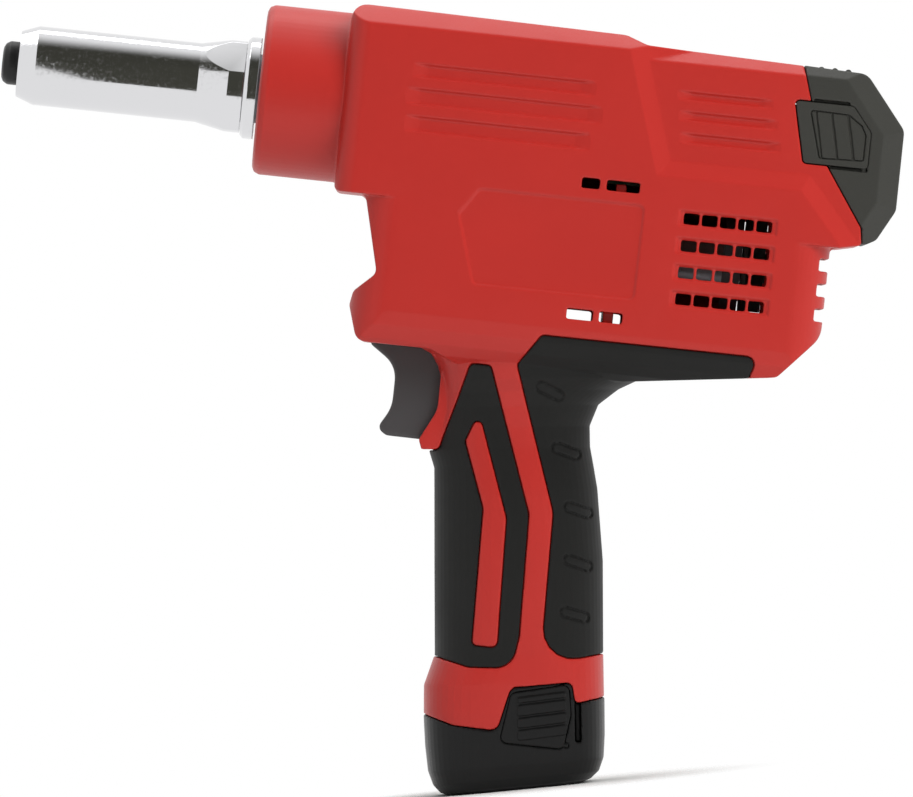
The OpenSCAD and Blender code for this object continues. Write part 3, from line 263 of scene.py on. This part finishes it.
def moulded_abs(name, colour, roughness, texture, ior=1.44):
    """Injection-moulded ABS.

    The eye sees an even satin with soft broad highlights, the fine grain of the mould's spark
    texture in them, and a slight drift of tone where the melt flowed.
    """
    material, tree = blank(name)
    place = add(tree, "ShaderNodeTexCoord").outputs["Object"]
    flow = add(tree, "ShaderNodeTexNoise", {"Vector": place, "Scale": grain(38), "Detail": 3.0})
    tone = add(tree, "ShaderNodeMix", {
        0: flow.outputs["Fac"], 6: shade(colour, 0.95), 7: shade(colour, 1.05)}, data_type="RGBA")
    # The real texture is about 0.1 mm wide, drawn coarser so that it shows at this distance
    spark = add(tree, "ShaderNodeTexNoise", {"Vector": place, "Scale": grain(texture), "Detail": 4.0})
    gloss = add(tree, "ShaderNodeMapRange", {
        "Value": spark.outputs["Fac"], "From Min": 0.3, "From Max": 0.7,
        "To Min": roughness - 0.05, "To Max": roughness + 0.07})
    bump = add(tree, "ShaderNodeBump", {
        "Height": spark.outputs["Fac"], "Strength": 0.2, "Distance": 0.03 * MM})
    skin = add(tree, "ShaderNodeBsdfPrincipled", {
        "Base Color": tone.outputs[2], "Roughness": gloss.outputs["Result"], "IOR": ior,
        "Normal": bump.outputs["Normal"]})
    add(tree, "ShaderNodeOutputMaterial", {"Surface": skin.outputs["BSDF"]})
    return material


def soft_elastomer(name, colour):
    """Overmoulded thermoplastic elastomer.

    The eye sees a dull black with a faint grey sheen at the edges, a fine matt grain, and
    slightly paler patches where the surface has been handled.
    """
    material, tree = blank(name)
    place = add(tree, "ShaderNodeTexCoord").outputs["Object"]
    handling = add(tree, "ShaderNodeTexNoise", {"Vector": place, "Scale": grain(22), "Detail": 4.0})
    tone = add(tree, "ShaderNodeMix", {
        0: handling.outputs["Fac"], 6: shade(colour, 0.86), 7: shade(colour, 1.16)}, data_type="RGBA")
    pores = add(tree, "ShaderNodeTexNoise", {"Vector": place, "Scale": grain(0.55), "Detail": 3.0})
    dull = add(tree, "ShaderNodeMapRange", {
        "Value": handling.outputs["Fac"], "From Min": 0.3, "From Max": 0.7, "To Min": 0.56, "To Max": 0.68})
    bump = add(tree, "ShaderNodeBump", {
        "Height": pores.outputs["Fac"], "Strength": 0.25, "Distance": 0.04 * MM})
    skin = add(tree, "ShaderNodeBsdfPrincipled", {
        "Base Color": tone.outputs[2], "Roughness": dull.outputs["Result"], "IOR": 1.32,
        "Normal": bump.outputs["Normal"]})
    add(tree, "ShaderNodeOutputMaterial", {"Surface": skin.outputs["BSDF"]})
    return material


def chrome_plate(name, colour):
    """Bright chrome plate over turned steel.

    The eye sees a clear mirror of the room, with the faint long waves of the turned steel under
    it and a few dull specks in the plate.
    """
    material, tree = blank(name)
    place = add(tree, "ShaderNodeTexCoord").outputs["Object"]
    specks = add(tree, "ShaderNodeTexNoise", {"Vector": place, "Scale": grain(1.1), "Detail": 5.0})
    dull = add(tree, "ShaderNodeMapRange", {
        "Value": specks.outputs["Fac"], "From Min": 0.5, "From Max": 0.72, "To Min": 0.09, "To Max": 0.24})
    waves = add(tree, "ShaderNodeTexNoise", {"Vector": place, "Scale": grain(9), "Detail": 1.0})
    bump = add(tree, "ShaderNodeBump", {
        "Height": waves.outputs["Fac"], "Strength": 0.25, "Distance": 0.05 * MM})
    skin = add(tree, "ShaderNodeBsdfPrincipled", {
        "Base Color": (*colour, 1), "Metallic": 1.0, "Roughness": dull.outputs["Result"],
        "Normal": bump.outputs["Normal"]})
    add(tree, "ShaderNodeOutputMaterial", {"Surface": skin.outputs["BSDF"]})
    return material


def worked_metal(name, code, roughness, cut, metallic=1.0):
    """Metal with the marks of the tool that cut, ground, drawn or cast it.

    The eye sees a grey or coloured metal whose shine breaks into fine marks of the given width.
    """
    material, tree = blank(name)
    colour = linear(code)
    place = add(tree, "ShaderNodeTexCoord").outputs["Object"]
    marks = add(tree, "ShaderNodeTexNoise", {"Vector": place, "Scale": grain(cut), "Detail": 5.0})
    tone = add(tree, "ShaderNodeMix", {
        0: marks.outputs["Fac"], 6: shade(colour, 0.8), 7: shade(colour, 1.15)}, data_type="RGBA")
    shine = add(tree, "ShaderNodeMapRange", {
        "Value": marks.outputs["Fac"], "From Min": 0.3, "From Max": 0.7,
        "To Min": roughness - 0.07, "To Max": roughness + 0.09})
    bump = add(tree, "ShaderNodeBump", {
        "Height": marks.outputs["Fac"], "Strength": 0.3, "Distance": 0.03 * MM})
    skin = add(tree, "ShaderNodeBsdfPrincipled", {
        "Base Color": tone.outputs[2], "Metallic": metallic, "Roughness": shine.outputs["Result"],
        "Normal": bump.outputs["Normal"]})
    add(tree, "ShaderNodeOutputMaterial", {"Surface": skin.outputs["BSDF"]})
    return material


def copper_winding(name):
    """Enamelled copper wire on a laminated core.

    The eye sees fine copper bands, about 0.7 mm apart, under a clear brown enamel.
    """
    material, tree = blank(name)
    place = add(tree, "ShaderNodeTexCoord").outputs["Object"]
    wires = add(tree, "ShaderNodeTexWave", {
        "Vector": place, "Scale": grain(0.7 * 2 * math.pi), "Distortion": 0.6}, bands_direction="Z")
    tone = add(tree, "ShaderNodeMix", {
        0: wires.outputs["Fac"], 6: (*linear("#6E3A1C"), 1), 7: (*linear("#C47E4A"), 1)}, data_type="RGBA")
    bump = add(tree, "ShaderNodeBump", {
        "Height": wires.outputs["Fac"], "Strength": 0.6, "Distance": 0.1 * MM})
    skin = add(tree, "ShaderNodeBsdfPrincipled", {
        "Base Color": tone.outputs[2], "Metallic": 0.9, "Roughness": 0.35,
        "Normal": bump.outputs["Normal"]})
    add(tree, "ShaderNodeOutputMaterial", {"Surface": skin.outputs["BSDF"]})
    return material


def circuit_board(name):
    """Glass-fibre board under green solder mask.

    The eye sees a glossy green with paler lines where copper runs under the mask.
    """
    material, tree = blank(name)
    place = add(tree, "ShaderNodeTexCoord").outputs["Object"]
    tracks = add(tree, "ShaderNodeTexBrick", {
        "Vector": place, "Color1": (*linear("#24502F"), 1), "Color2": (*linear("#2B5C37"), 1),
        "Mortar": (*linear("#4B8A55"), 1), "Scale": grain(6), "Mortar Size": 0.06})
    skin = add(tree, "ShaderNodeBsdfPrincipled", {
        "Base Color": tracks.outputs["Color"], "Roughness": 0.3, "IOR": 1.55})
    add(tree, "ShaderNodeOutputMaterial", {"Surface": skin.outputs["BSDF"]})
    return material


def shrink_wrap(name):
    """Heat-shrunk PVC film round a cell.

    The eye sees a glossy blue-grey film with faint wrinkles drawn round the cell.
    """
    material, tree = blank(name)
    place = add(tree, "ShaderNodeTexCoord").outputs["Object"]
    wrinkles = add(tree, "ShaderNodeTexNoise", {"Vector": place, "Scale": grain(4), "Detail": 3.0})
    tone = add(tree, "ShaderNodeMix", {
        0: wrinkles.outputs["Fac"], 6: (*linear("#40607C"), 1), 7: (*linear("#587C9C"), 1)}, data_type="RGBA")
    bump = add(tree, "ShaderNodeBump", {
        "Height": wrinkles.outputs["Fac"], "Strength": 0.3, "Distance": 0.08 * MM})
    skin = add(tree, "ShaderNodeBsdfPrincipled", {
        "Base Color": tone.outputs[2], "Roughness": 0.25, "IOR": 1.54, "Normal": bump.outputs["Normal"]})
    add(tree, "ShaderNodeOutputMaterial", {"Surface": skin.outputs["BSDF"]})
    return material


def clear_polycarbonate(name):
    """Moulded clear polycarbonate.

    The eye sees a bright clear lens, frosted a little by its moulded prism texture.
    """
    material, tree = blank(name)
    place = add(tree, "ShaderNodeTexCoord").outputs["Object"]
    prisms = add(tree, "ShaderNodeTexVoronoi", {"Vector": place, "Scale": grain(0.8)})
    bump = add(tree, "ShaderNodeBump", {
        "Height": prisms.outputs["Distance"], "Strength": 0.4, "Distance": 0.1 * MM})
    skin = add(tree, "ShaderNodeBsdfPrincipled", {
        "Base Color": (*linear("#F2F6F8"), 1), "Roughness": 0.12, "IOR": 1.58,
        "Transmission Weight": 0.85, "Normal": bump.outputs["Normal"]})
    add(tree, "ShaderNodeOutputMaterial", {"Surface": skin.outputs["BSDF"]})
    return material


def pale_floor(name, colour):
    """Pale studio floor that keeps the tool's shadow and runs out into white.

    Near the tool it is plain matt paint. Further out the camera and mirrors look through it into the
    white room, so that it doesn't hide the battery when that slides down out of the handle.
    """
    material, tree = blank(name)
    place = add(tree, "ShaderNodeTexCoord").outputs["Object"]
    away = add(tree, "ShaderNodeVectorMath", {0: place}, operation="LENGTH")
    fade = add(tree, "ShaderNodeMapRange", {
        "Value": away.outputs["Value"], "From Min": FLOOR_REACH[0], "From Max": FLOOR_REACH[1]},
        interpolation_type="SMOOTHSTEP")
    seen = seen_directly(tree)
    share = add(tree, "ShaderNodeMath", {0: fade.outputs["Result"], 1: seen}, operation="MULTIPLY")
    paint = add(tree, "ShaderNodeBsdfDiffuse", {"Color": (*colour, 1)})
    clear = add(tree, "ShaderNodeBsdfTransparent")
    blend = add(tree, "ShaderNodeMixShader", {
        0: share.outputs["Value"], 1: paint.outputs["BSDF"], 2: clear.outputs["BSDF"]})
    add(tree, "ShaderNodeOutputMaterial", {"Surface": blend.outputs["Shader"]})
    return material


def seen_directly(tree):
    """Socket that is 1 for rays from the camera, from mirrors and through glass."""
    path = add(tree, "ShaderNodeLightPath")
    either = add(tree, "ShaderNodeMath", {
        0: path.outputs["Is Camera Ray"], 1: path.outputs["Is Glossy Ray"]}, operation="MAXIMUM")
    any_of = add(tree, "ShaderNodeMath", {
        0: either.outputs["Value"], 1: path.outputs["Is Transmission Ray"]}, operation="MAXIMUM")
    return any_of.outputs["Value"]


def dark_card(name):
    """Painted reflection for mirrors: an emitting card that only glossy rays see, painted dark with a faint
    grain and painted white towards its upper edge.
    """
    material, tree = blank(name)
    place = add(tree, "ShaderNodeTexCoord").outputs["Object"]
    # Painted reflection: a dark grainy tone for the band that the chrome mirrors
    reflection_grain = add(tree, "ShaderNodeTexNoise", {"Vector": place, "Scale": grain(400), "Detail": 2.0})
    tone = add(tree, "ShaderNodeMix", {
        0: reflection_grain.outputs["Fac"], 6: (*linear("#2E2E28"), 1), 7: (*linear("#5A5A52"), 1)}, data_type="RGBA")
    part = add(tree, "ShaderNodeSeparateXYZ", {"Vector": place})
    front = add(tree, "ShaderNodeMath", {0: part.outputs["Y"], 1: -1.0}, operation="MULTIPLY")
    above = add(tree, "ShaderNodeMath", {0: part.outputs["Z"], 1: -ZERO.z}, operation="ADD")
    rise = add(tree, "ShaderNodeMath", {
        0: above.outputs["Value"], 1: front.outputs["Value"]}, operation="ARCTAN2")
    # Painted light: above this angle the card glows white, a painted bright room in the reflections
    lit = add(tree, "ShaderNodeMapRange", {
        "Value": rise.outputs["Value"], "From Min": math.radians(CARD_LIT[0]),
        "From Max": math.radians(CARD_LIT[1])}, interpolation_type="SMOOTHSTEP")
    blend = add(tree, "ShaderNodeMix", {
        0: lit.outputs["Result"], 6: tone.outputs[2], 7: (1, 1, 1, 1)}, data_type="RGBA")
    glow = add(tree, "ShaderNodeEmission", {"Color": blend.outputs[2], "Strength": 1.0})
    add(tree, "ShaderNodeOutputMaterial", {"Surface": glow.outputs["Emission"]})
    return material


def finish(slot):
    """The material of a slot of the record, made the first time that it is asked for."""
    colours = bpy.context.scene.rivet_tool_colours
    makers = {
        "red_abs": lambda n: moulded_abs(n, colours.red, 0.4, 0.45),
        "soft_grip": lambda n: soft_elastomer(n, colours.grip),
        "trigger_abs": lambda n: moulded_abs(n, colours.trigger, 0.46, 0.5),
        "collector_nylon": lambda n: moulded_abs(n, colours.collector, 0.58, 0.6),
        "battery_abs": lambda n: moulded_abs(n, colours.battery, 0.36, 0.5, 1.3),
        "chrome": lambda n: chrome_plate(n, colours.chrome),
        "black_steel": lambda n: worked_metal(n, "#2B2B2B", 0.4, 0.6, 0.7),
        "steel": lambda n: worked_metal(n, "#8E9094", 0.34, 0.7),
        "magnet": lambda n: worked_metal(n, "#3A3A3C", 0.6, 0.5, 0.5),
        "winding": copper_winding,
        "cast_alloy": lambda n: worked_metal(n, "#A9ABAD", 0.5, 1.2),
        "brass": lambda n: worked_metal(n, "#B89A52", 0.3, 0.6),
        "board": circuit_board,
        "cell": shrink_wrap,
        "lens": clear_polycarbonate,
    }
    names = {
        "red_abs": "Satin moulded ABS", "soft_grip": "Overmoulded elastomer",
        "trigger_abs": "Satin trigger ABS", "collector_nylon": "Spark-textured nylon",
        "battery_abs": "Semi-gloss battery ABS", "chrome": "Bright chrome plate",
        "black_steel": "Black oxide steel", "steel": "Ground steel", "magnet": "Sintered magnet",
        "winding": "Enamelled copper winding", "cast_alloy": "Die-cast alloy", "brass": "Drawn brass",
        "board": "Circuit board", "cell": "Shrink-wrapped cell", "lens": "Clear polycarbonate",
    }
    name = names[slot]
    return bpy.data.materials.get(name) or makers[slot](name)


# Shapes

def shown(form, name):
    """Turns a finished bmesh into an object of the scene."""
    mesh = bpy.data.meshes.new(name)
    form.to_mesh(mesh)
    form.free()
    piece = bpy.data.objects.new(name, mesh)
    bpy.context.scene.collection.objects.link(piece)
    return piece


def dress(piece, node):
    """Gives a piece its node's finish and body, and lets it stand for the node."""
    slot = SLOTS[node]
    piece.data.materials.clear()
    piece.data.materials.append(finish(slot))
    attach(piece, frame["nodes"][node]["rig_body"])
    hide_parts(node)
    return piece


def smooth_by_angle(piece, angle):
    """Smooth shading with sharp edges where faces meet at more than an angle in degrees."""
    piece.data.shade_smooth()
    piece.data.set_sharp_from_angle(angle=math.radians(angle))


def moulded(node, name, skin, ease, grow=0):
    """A CAD node's form with the soft edges of a moulding.

    The node's loose triangles are joined, covered with a fine even skin, eased and thinned. It can
    also grow a little, so that it meets its neighbours as closely as pressed plastic does.
    """
    sizes = bpy.context.scene.rivet_tool_sizes
    form = bmesh.new()
    form.from_mesh(frame["nodes"][node].data)
    bmesh.ops.remove_doubles(form, verts=form.verts, dist=WELD)
    piece = shown(form, name)
    cover = piece.modifiers.new("Skin", "REMESH")
    cover.mode = "VOXEL"
    cover.voxel_size = skin * 1
    softer = piece.modifiers.new("Ease", "SMOOTH")
    softer.iterations = ease
    wider = piece.modifiers.new("Grow", "DISPLACE")
    wider.mid_level = 0
    wider.strength = grow
    settle(piece)
    triangles = sum(len(face.vertices) - 2 for face in piece.data.polygons)
    if triangles > sizes.face_limit:
        thin = piece.modifiers.new("Thin", "DECIMATE")
        thin.ratio = sizes.face_limit / triangles
        settle(piece)
    piece.data.shade_smooth()
    return dress(piece, node)


def settle(piece):
    """Replaces a piece's mesh by the result of its modifiers."""
    view = bpy.context.evaluated_depsgraph_get()
    mesh = bpy.data.meshes.new_from_object(piece.evaluated_get(view))
    piece.modifiers.clear()
    old = piece.data
    piece.data = mesh
    bpy.data.meshes.remove(old)
    mesh.name = piece.name


def turned(profile, steps):
    """A round form on the barrel's axis, spun from a closed profile of places and radii."""
    form = bmesh.new()
    corners = [form.verts.new(on_barrel(x, 0, r)) for x, r in profile]
    sides = [form.edges.new(pair) for pair in zip(corners, corners[1:] + corners[:1])]
    bmesh.ops.spin(form, geom=corners + sides, cent=ZERO, axis=BACK, angle=2 * math.pi,
                   steps=steps, use_merge=True)
    bmesh.ops.remove_doubles(form, verts=form.verts, dist=WELD)
    bmesh.ops.recalc_face_normals(form, faces=form.faces)
    return form


def ease_edges(form, width, angle):
    """Rounds the edges of a form where its faces meet at more than an angle in degrees."""
    sharp = [edge for edge in form.edges if edge.calc_face_angle(0) > math.radians(angle)]
    bmesh.ops.bevel(form, geom=sharp, offset=width, offset_type="OFFSET", affect="EDGES", segments=3,
                    profile=0.5, material=-1, clamp_overlap=True)


# One operator for each piece or group of like pieces

class RIVET_TOOL_OT_stage(bpy.types.Operator):
    """Set up the floor, the light and the camera"""

    bl_idname = "rivet_tool.stage"
    bl_label = "Stage"

    def execute(self, context):
        scene = context.scene
        stage = scene.rivet_tool_stage
        aim = Vector(stage.aim)

        camera = bpy.data.cameras.new("Camera")
        camera.sensor_width = 36
        camera.lens = camera.sensor_width * stage.camera_distance / stage.view_width
        eye = bpy.data.objects.new("Camera", camera)
        eye.matrix_world = (
            Matrix.Translation(aim - ACROSS * stage.camera_distance)
            @ Matrix.Rotation(math.radians(90), 4, "X")
            @ Matrix.Rotation(stage.camera_roll, 4, "Z"))
        scene.collection.objects.link(eye)
        scene.camera = eye
        scene.view_settings.view_transform = "Standard"

        form = bmesh.new()
        bmesh.ops.create_grid(form, x_segments=8, y_segments=8, size=FLOOR_HALF)
        bmesh.ops.translate(form, verts=form.verts, vec=(0, 0, -FLOOR_DROP))
        floor = shown(form, "floor")
        floor.data.materials.append(pale_floor("Pale studio floor", scene.rivet_tool_colours.floor))

        # A curved dark card round the barrel, from low in front to just past overhead: it glows, is seen only
        # in mirrors, and paints the dark band and white top of the chrome's reflection
        form = bmesh.new()
        low = Matrix.Rotation(math.radians(stage.card_low), 3, "X") @ Vector((0, -stage.card_radius, 0))
        left = on_barrel(stage.card_left, 0, 0)
        ends = [form.verts.new(left + low + Vector((x, 0, 0))) for x in (0, CARD_LENGTH)]
        edge = form.edges.new(ends)
        bmesh.ops.spin(form, geom=ends + [edge], cent=left, axis=(1, 0, 0),
                       angle=math.radians(-CARD_HIGH - stage.card_low), steps=CARD_STEPS)
        card = shown(form, "dark_card")
        card.data.materials.append(dark_card("Painted reflection card"))
        for kind in ("camera", "diffuse", "shadow", "transmission"):
            setattr(card, "visible_" + kind, False)

        powers = {"Top softbox": stage.top_power, "Front softbox": stage.front_power}
        for name, (place, size) in SOFTBOXES.items():
            lamp = bpy.data.lights.new(name, "AREA")
            lamp.size = size
            lamp.energy = powers[name]
            box = bpy.data.objects.new(name, lamp)
            box.location = place
            box.rotation_euler = (aim - Vector(place)).to_track_quat("-Z", "Y").to_euler()
            # The front softbox is kept out of the reflections
            box.visible_glossy = name == "Top softbox"
            scene.collection.objects.link(box)

        world = bpy.data.worlds.new("Studio")
        world.use_nodes = True
        world.node_tree.nodes.clear()
        tree = world.node_tree
        light = add(tree, "ShaderNodeBackground", {"Color": (1, 1, 1, 1), "Strength": stage.sky})
        white = add(tree, "ShaderNodeBackground", {"Color": (1, 1, 1, 1), "Strength": 1.0})
        blend = add(tree, "ShaderNodeMixShader", {
            0: seen_directly(tree), 1: light.outputs["Background"], 2: white.outputs["Background"]})
        add(tree, "ShaderNodeOutputWorld", {"Surface": blend.outputs["Shader"]})
        scene.world = world
        return {"FINISHED"}


class RIVET_TOOL_OT_housing(bpy.types.Operator):
    """Build the two moulded halves of the housing"""

    bl_idname = "rivet_tool.housing"
    bl_label = "Housing"

    def execute(self, context):
        sizes = context.scene.rivet_tool_sizes
        for side in ("left", "right"):
            moulded("housing_" + side, "moulded_housing_" + side, sizes.housing_skin, sizes.edge_ease)
        return {"FINISHED"}


class RIVET_TOOL_OT_grips(bpy.types.Operator):
    """Build the four soft grip panels"""

    bl_idname = "rivet_tool.grips"
    bl_label = "Grip panels"

    def execute(self, context):
        sizes = context.scene.rivet_tool_sizes
        for place in ("front_left", "front_right", "rear_left", "rear_right"):
            moulded("grip_" + place, "soft_grip_" + place, sizes.panel_skin, sizes.edge_ease)
        return {"FINISHED"}


class RIVET_TOOL_OT_nose(bpy.types.Operator):
    """Turn the nosepiece, the head sleeve and the lock ring"""

    bl_idname = "rivet_tool.nose"
    bl_label = "Nose"

    def execute(self, context):
        sizes = context.scene.rivet_tool_sizes
        steps = sizes.turned_steps
        zero = ZERO.dot(BACK)

        start, end = (place - zero for place in reach("nosepiece"))
        front = reach("head_sleeve")[0] - zero
        neck = 6 * MM
        # Rounded tip: place behind the tip's face, and distance inside the full radius
        tip = ((0, 2.4 * MM), (0.7 * MM, 0.9 * MM), (2.2 * MM, 0))
        form = turned([
            (start, sizes.mandrel_radius), *[(start + x, sizes.nose_radius - inside) for x, inside in tip],
            (front, sizes.nose_radius), (front, neck), (end, neck), (end, sizes.mandrel_radius)], steps)
        ease_edges(form, 0.35 * MM, 15)
        nosepiece = shown(form, "turned_nosepiece")
        smooth_by_angle(nosepiece, 40)
        dress(nosepiece, "nosepiece")

        back = reach("head_sleeve")[1] - zero
        flare = back - 15.2 * MM
        full = back - 5.2 * MM
        front_radius = sizes.sleeve_radius - 2.2 * MM
        # The jaw case's bore runs from behind the nosepiece's neck to a wider seat on the threaded boss
        bore, seat = 9.6 * MM, 11.55 * MM
        bore_start, seat_start = front + 8 * MM, back - 15.8 * MM
        form = turned([
            (front, neck), (front, front_radius),
            (front + sizes.sleeve_taper, sizes.sleeve_radius), (flare, sizes.sleeve_radius),
            (full, sizes.flare_radius), (back, sizes.flare_radius), (back, seat),
            (seat_start, seat), (seat_start, bore), (bore_start, bore), (bore_start, neck)], steps)
        for corner in range(4):
            out = Matrix.Rotation(math.radians(45 + 90 * corner), 3, BACK) @ UP
            cut = bmesh.ops.bisect_plane(
                form, geom=form.verts[:] + form.edges[:] + form.faces[:],
                plane_co=ZERO + out * sizes.flats_width / 2, plane_no=out, clear_outer=True)
            rim = [item for item in cut["geom_cut"] if isinstance(item, bmesh.types.BMEdge)]
            bmesh.ops.edgenet_fill(form, edges=rim)
        bmesh.ops.recalc_face_normals(form, faces=form.faces)
        ease_edges(form, 0.3 * MM, 14)
        sleeve = shown(form, "chromed_sleeve")
        smooth_by_angle(sleeve, 9)
        dress(sleeve, "head_sleeve")

        start, end = (place - zero for place in reach("lock_ring"))
        outer = sizes.ring_radius
        chamfer = 1.1 * MM
        form = turned([
            (start, seat), (start, outer - chamfer), (start + chamfer, outer), (end, outer),
            (end, seat)], steps)
        ease_edges(form, 0.25 * MM, 20)
        ring = shown(form, "chromed_lock_ring")
        smooth_by_angle(ring, 9)
        dress(ring, "lock_ring")
        return {"FINISHED"}


class RIVET_TOOL_OT_trigger(bpy.types.Operator):
    """Build the trigger"""

    bl_idname = "rivet_tool.trigger"
    bl_label = "Trigger"

    def execute(self, context):
        sizes = context.scene.rivet_tool_sizes
        moulded("trigger", "moulded_trigger", sizes.panel_skin, sizes.trigger_ease)
        return {"FINISHED"}


class RIVET_TOOL_OT_collector(bpy.types.Operator):
    """Build the mandrel collector and its two press tabs"""

    bl_idname = "rivet_tool.collector"
    bl_label = "Collector"

    def execute(self, context):
        sizes = context.scene.rivet_tool_sizes
        moulded("collector", "moulded_collector", sizes.panel_skin, sizes.edge_ease, sizes.seam_growth)
        for node in ("collector_tab_left", "collector_tab_right"):
            moulded(node, "moulded_" + node, sizes.fine_skin, sizes.edge_ease, sizes.seam_growth)
        return {"FINISHED"}


class RIVET_TOOL_OT_battery(bpy.types.Operator):
    """Build the battery's shell and its two release latches"""

    bl_idname = "rivet_tool.battery"
    bl_label = "Battery"

    def execute(self, context):
        sizes = context.scene.rivet_tool_sizes
        moulded("battery_base", "moulded_battery_base", sizes.panel_skin, sizes.edge_ease, sizes.seam_growth)
        for node in ("battery_latch_left", "battery_latch_right"):
            moulded(node, "moulded_" + node, sizes.fine_skin, sizes.edge_ease, sizes.seam_growth)
        return {"FINISHED"}


class RIVET_TOOL_OT_springs(bpy.types.Operator):
    """Build the two springs, which shorten as the piece in front of them moves back"""
    # Build the two springs from their CAD coils

    bl_idname = "rivet_tool.springs"
    bl_label = "Springs"

    def execute(self, context):
        for node, name in (("trigger", "trigger_slide"), ("jaw", "jaw_slide")):
            form = bmesh.new()
            form.from_mesh(frame["nodes"][node + "_spring"].data)
            bmesh.ops.remove_doubles(form, verts=form.verts, dist=WELD)
            spring = shown(form, "coiled_%s_spring" % node)
            smooth_by_angle(spring, 40)
            dress(spring, node + "_spring")
            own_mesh(spring)
        return {"FINISHED"}


class RIVET_TOOL_OT_inside(bpy.types.Operator):
    """Give every other piece of the tool its finish"""

    bl_idname = "rivet_tool.inside"
    bl_label = "Inner pieces"

    def execute(self, context):
        for node, piece in frame["nodes"].items():
            piece.data.materials.clear()
            piece.data.materials.append(finish(SLOTS[node]))
        return {"FINISHED"}


class RIVET_TOOL_PT_panel(bpy.types.Panel):
    """Lists the steps that build the tool"""

    bl_idname = "RIVET_TOOL_PT_panel"
    bl_label = "Rivet Tool"
    bl_space_type = "VIEW_3D"
    bl_region_type = "UI"
    bl_category = "Rivet Tool"

    def draw(self, context):
        for step in STEPS:
            self.layout.operator(step.bl_idname)
        for group in (
            context.scene.rivet_tool_sizes, context.scene.rivet_tool_colours, context.scene.rivet_tool_stage
        ):
            column = self.layout.column()
            for name in group.__annotations__:
                column.prop(group, name)


STEPS = (
    RIVET_TOOL_OT_stage, RIVET_TOOL_OT_housing, RIVET_TOOL_OT_grips, RIVET_TOOL_OT_nose,
    RIVET_TOOL_OT_trigger, RIVET_TOOL_OT_collector, RIVET_TOOL_OT_battery, RIVET_TOOL_OT_springs,
    RIVET_TOOL_OT_inside,
)
CLASSES = (RivetToolSizes, RivetToolColours, RivetToolStage, *STEPS, RIVET_TOOL_PT_panel)


def register():
    for item in CLASSES:
        bpy.utils.register_class(item)
    bpy.types.Scene.rivet_tool_sizes = PointerProperty(type=RivetToolSizes)
    bpy.types.Scene.rivet_tool_colours = PointerProperty(type=RivetToolColours)
    bpy.types.Scene.rivet_tool_stage = PointerProperty(type=RivetToolStage)


def unregister():
    del bpy.types.Scene.rivet_tool_stage
    del bpy.types.Scene.rivet_tool_colours
    del bpy.types.Scene.rivet_tool_sizes
    for item in reversed(CLASSES):
        bpy.utils.unregister_class(item)


def main():
    register()
    bpy.ops.rivet_tool.stage()
    bpy.ops.rivet_tool.housing()
    bpy.ops.rivet_tool.grips()
    bpy.ops.rivet_tool.nose()
    bpy.ops.rivet_tool.trigger()
    bpy.ops.rivet_tool.collector()
    bpy.ops.rivet_tool.battery()
    bpy.ops.rivet_tool.springs()
    bpy.ops.rivet_tool.inside()


if __name__ == "__main__":
    main()
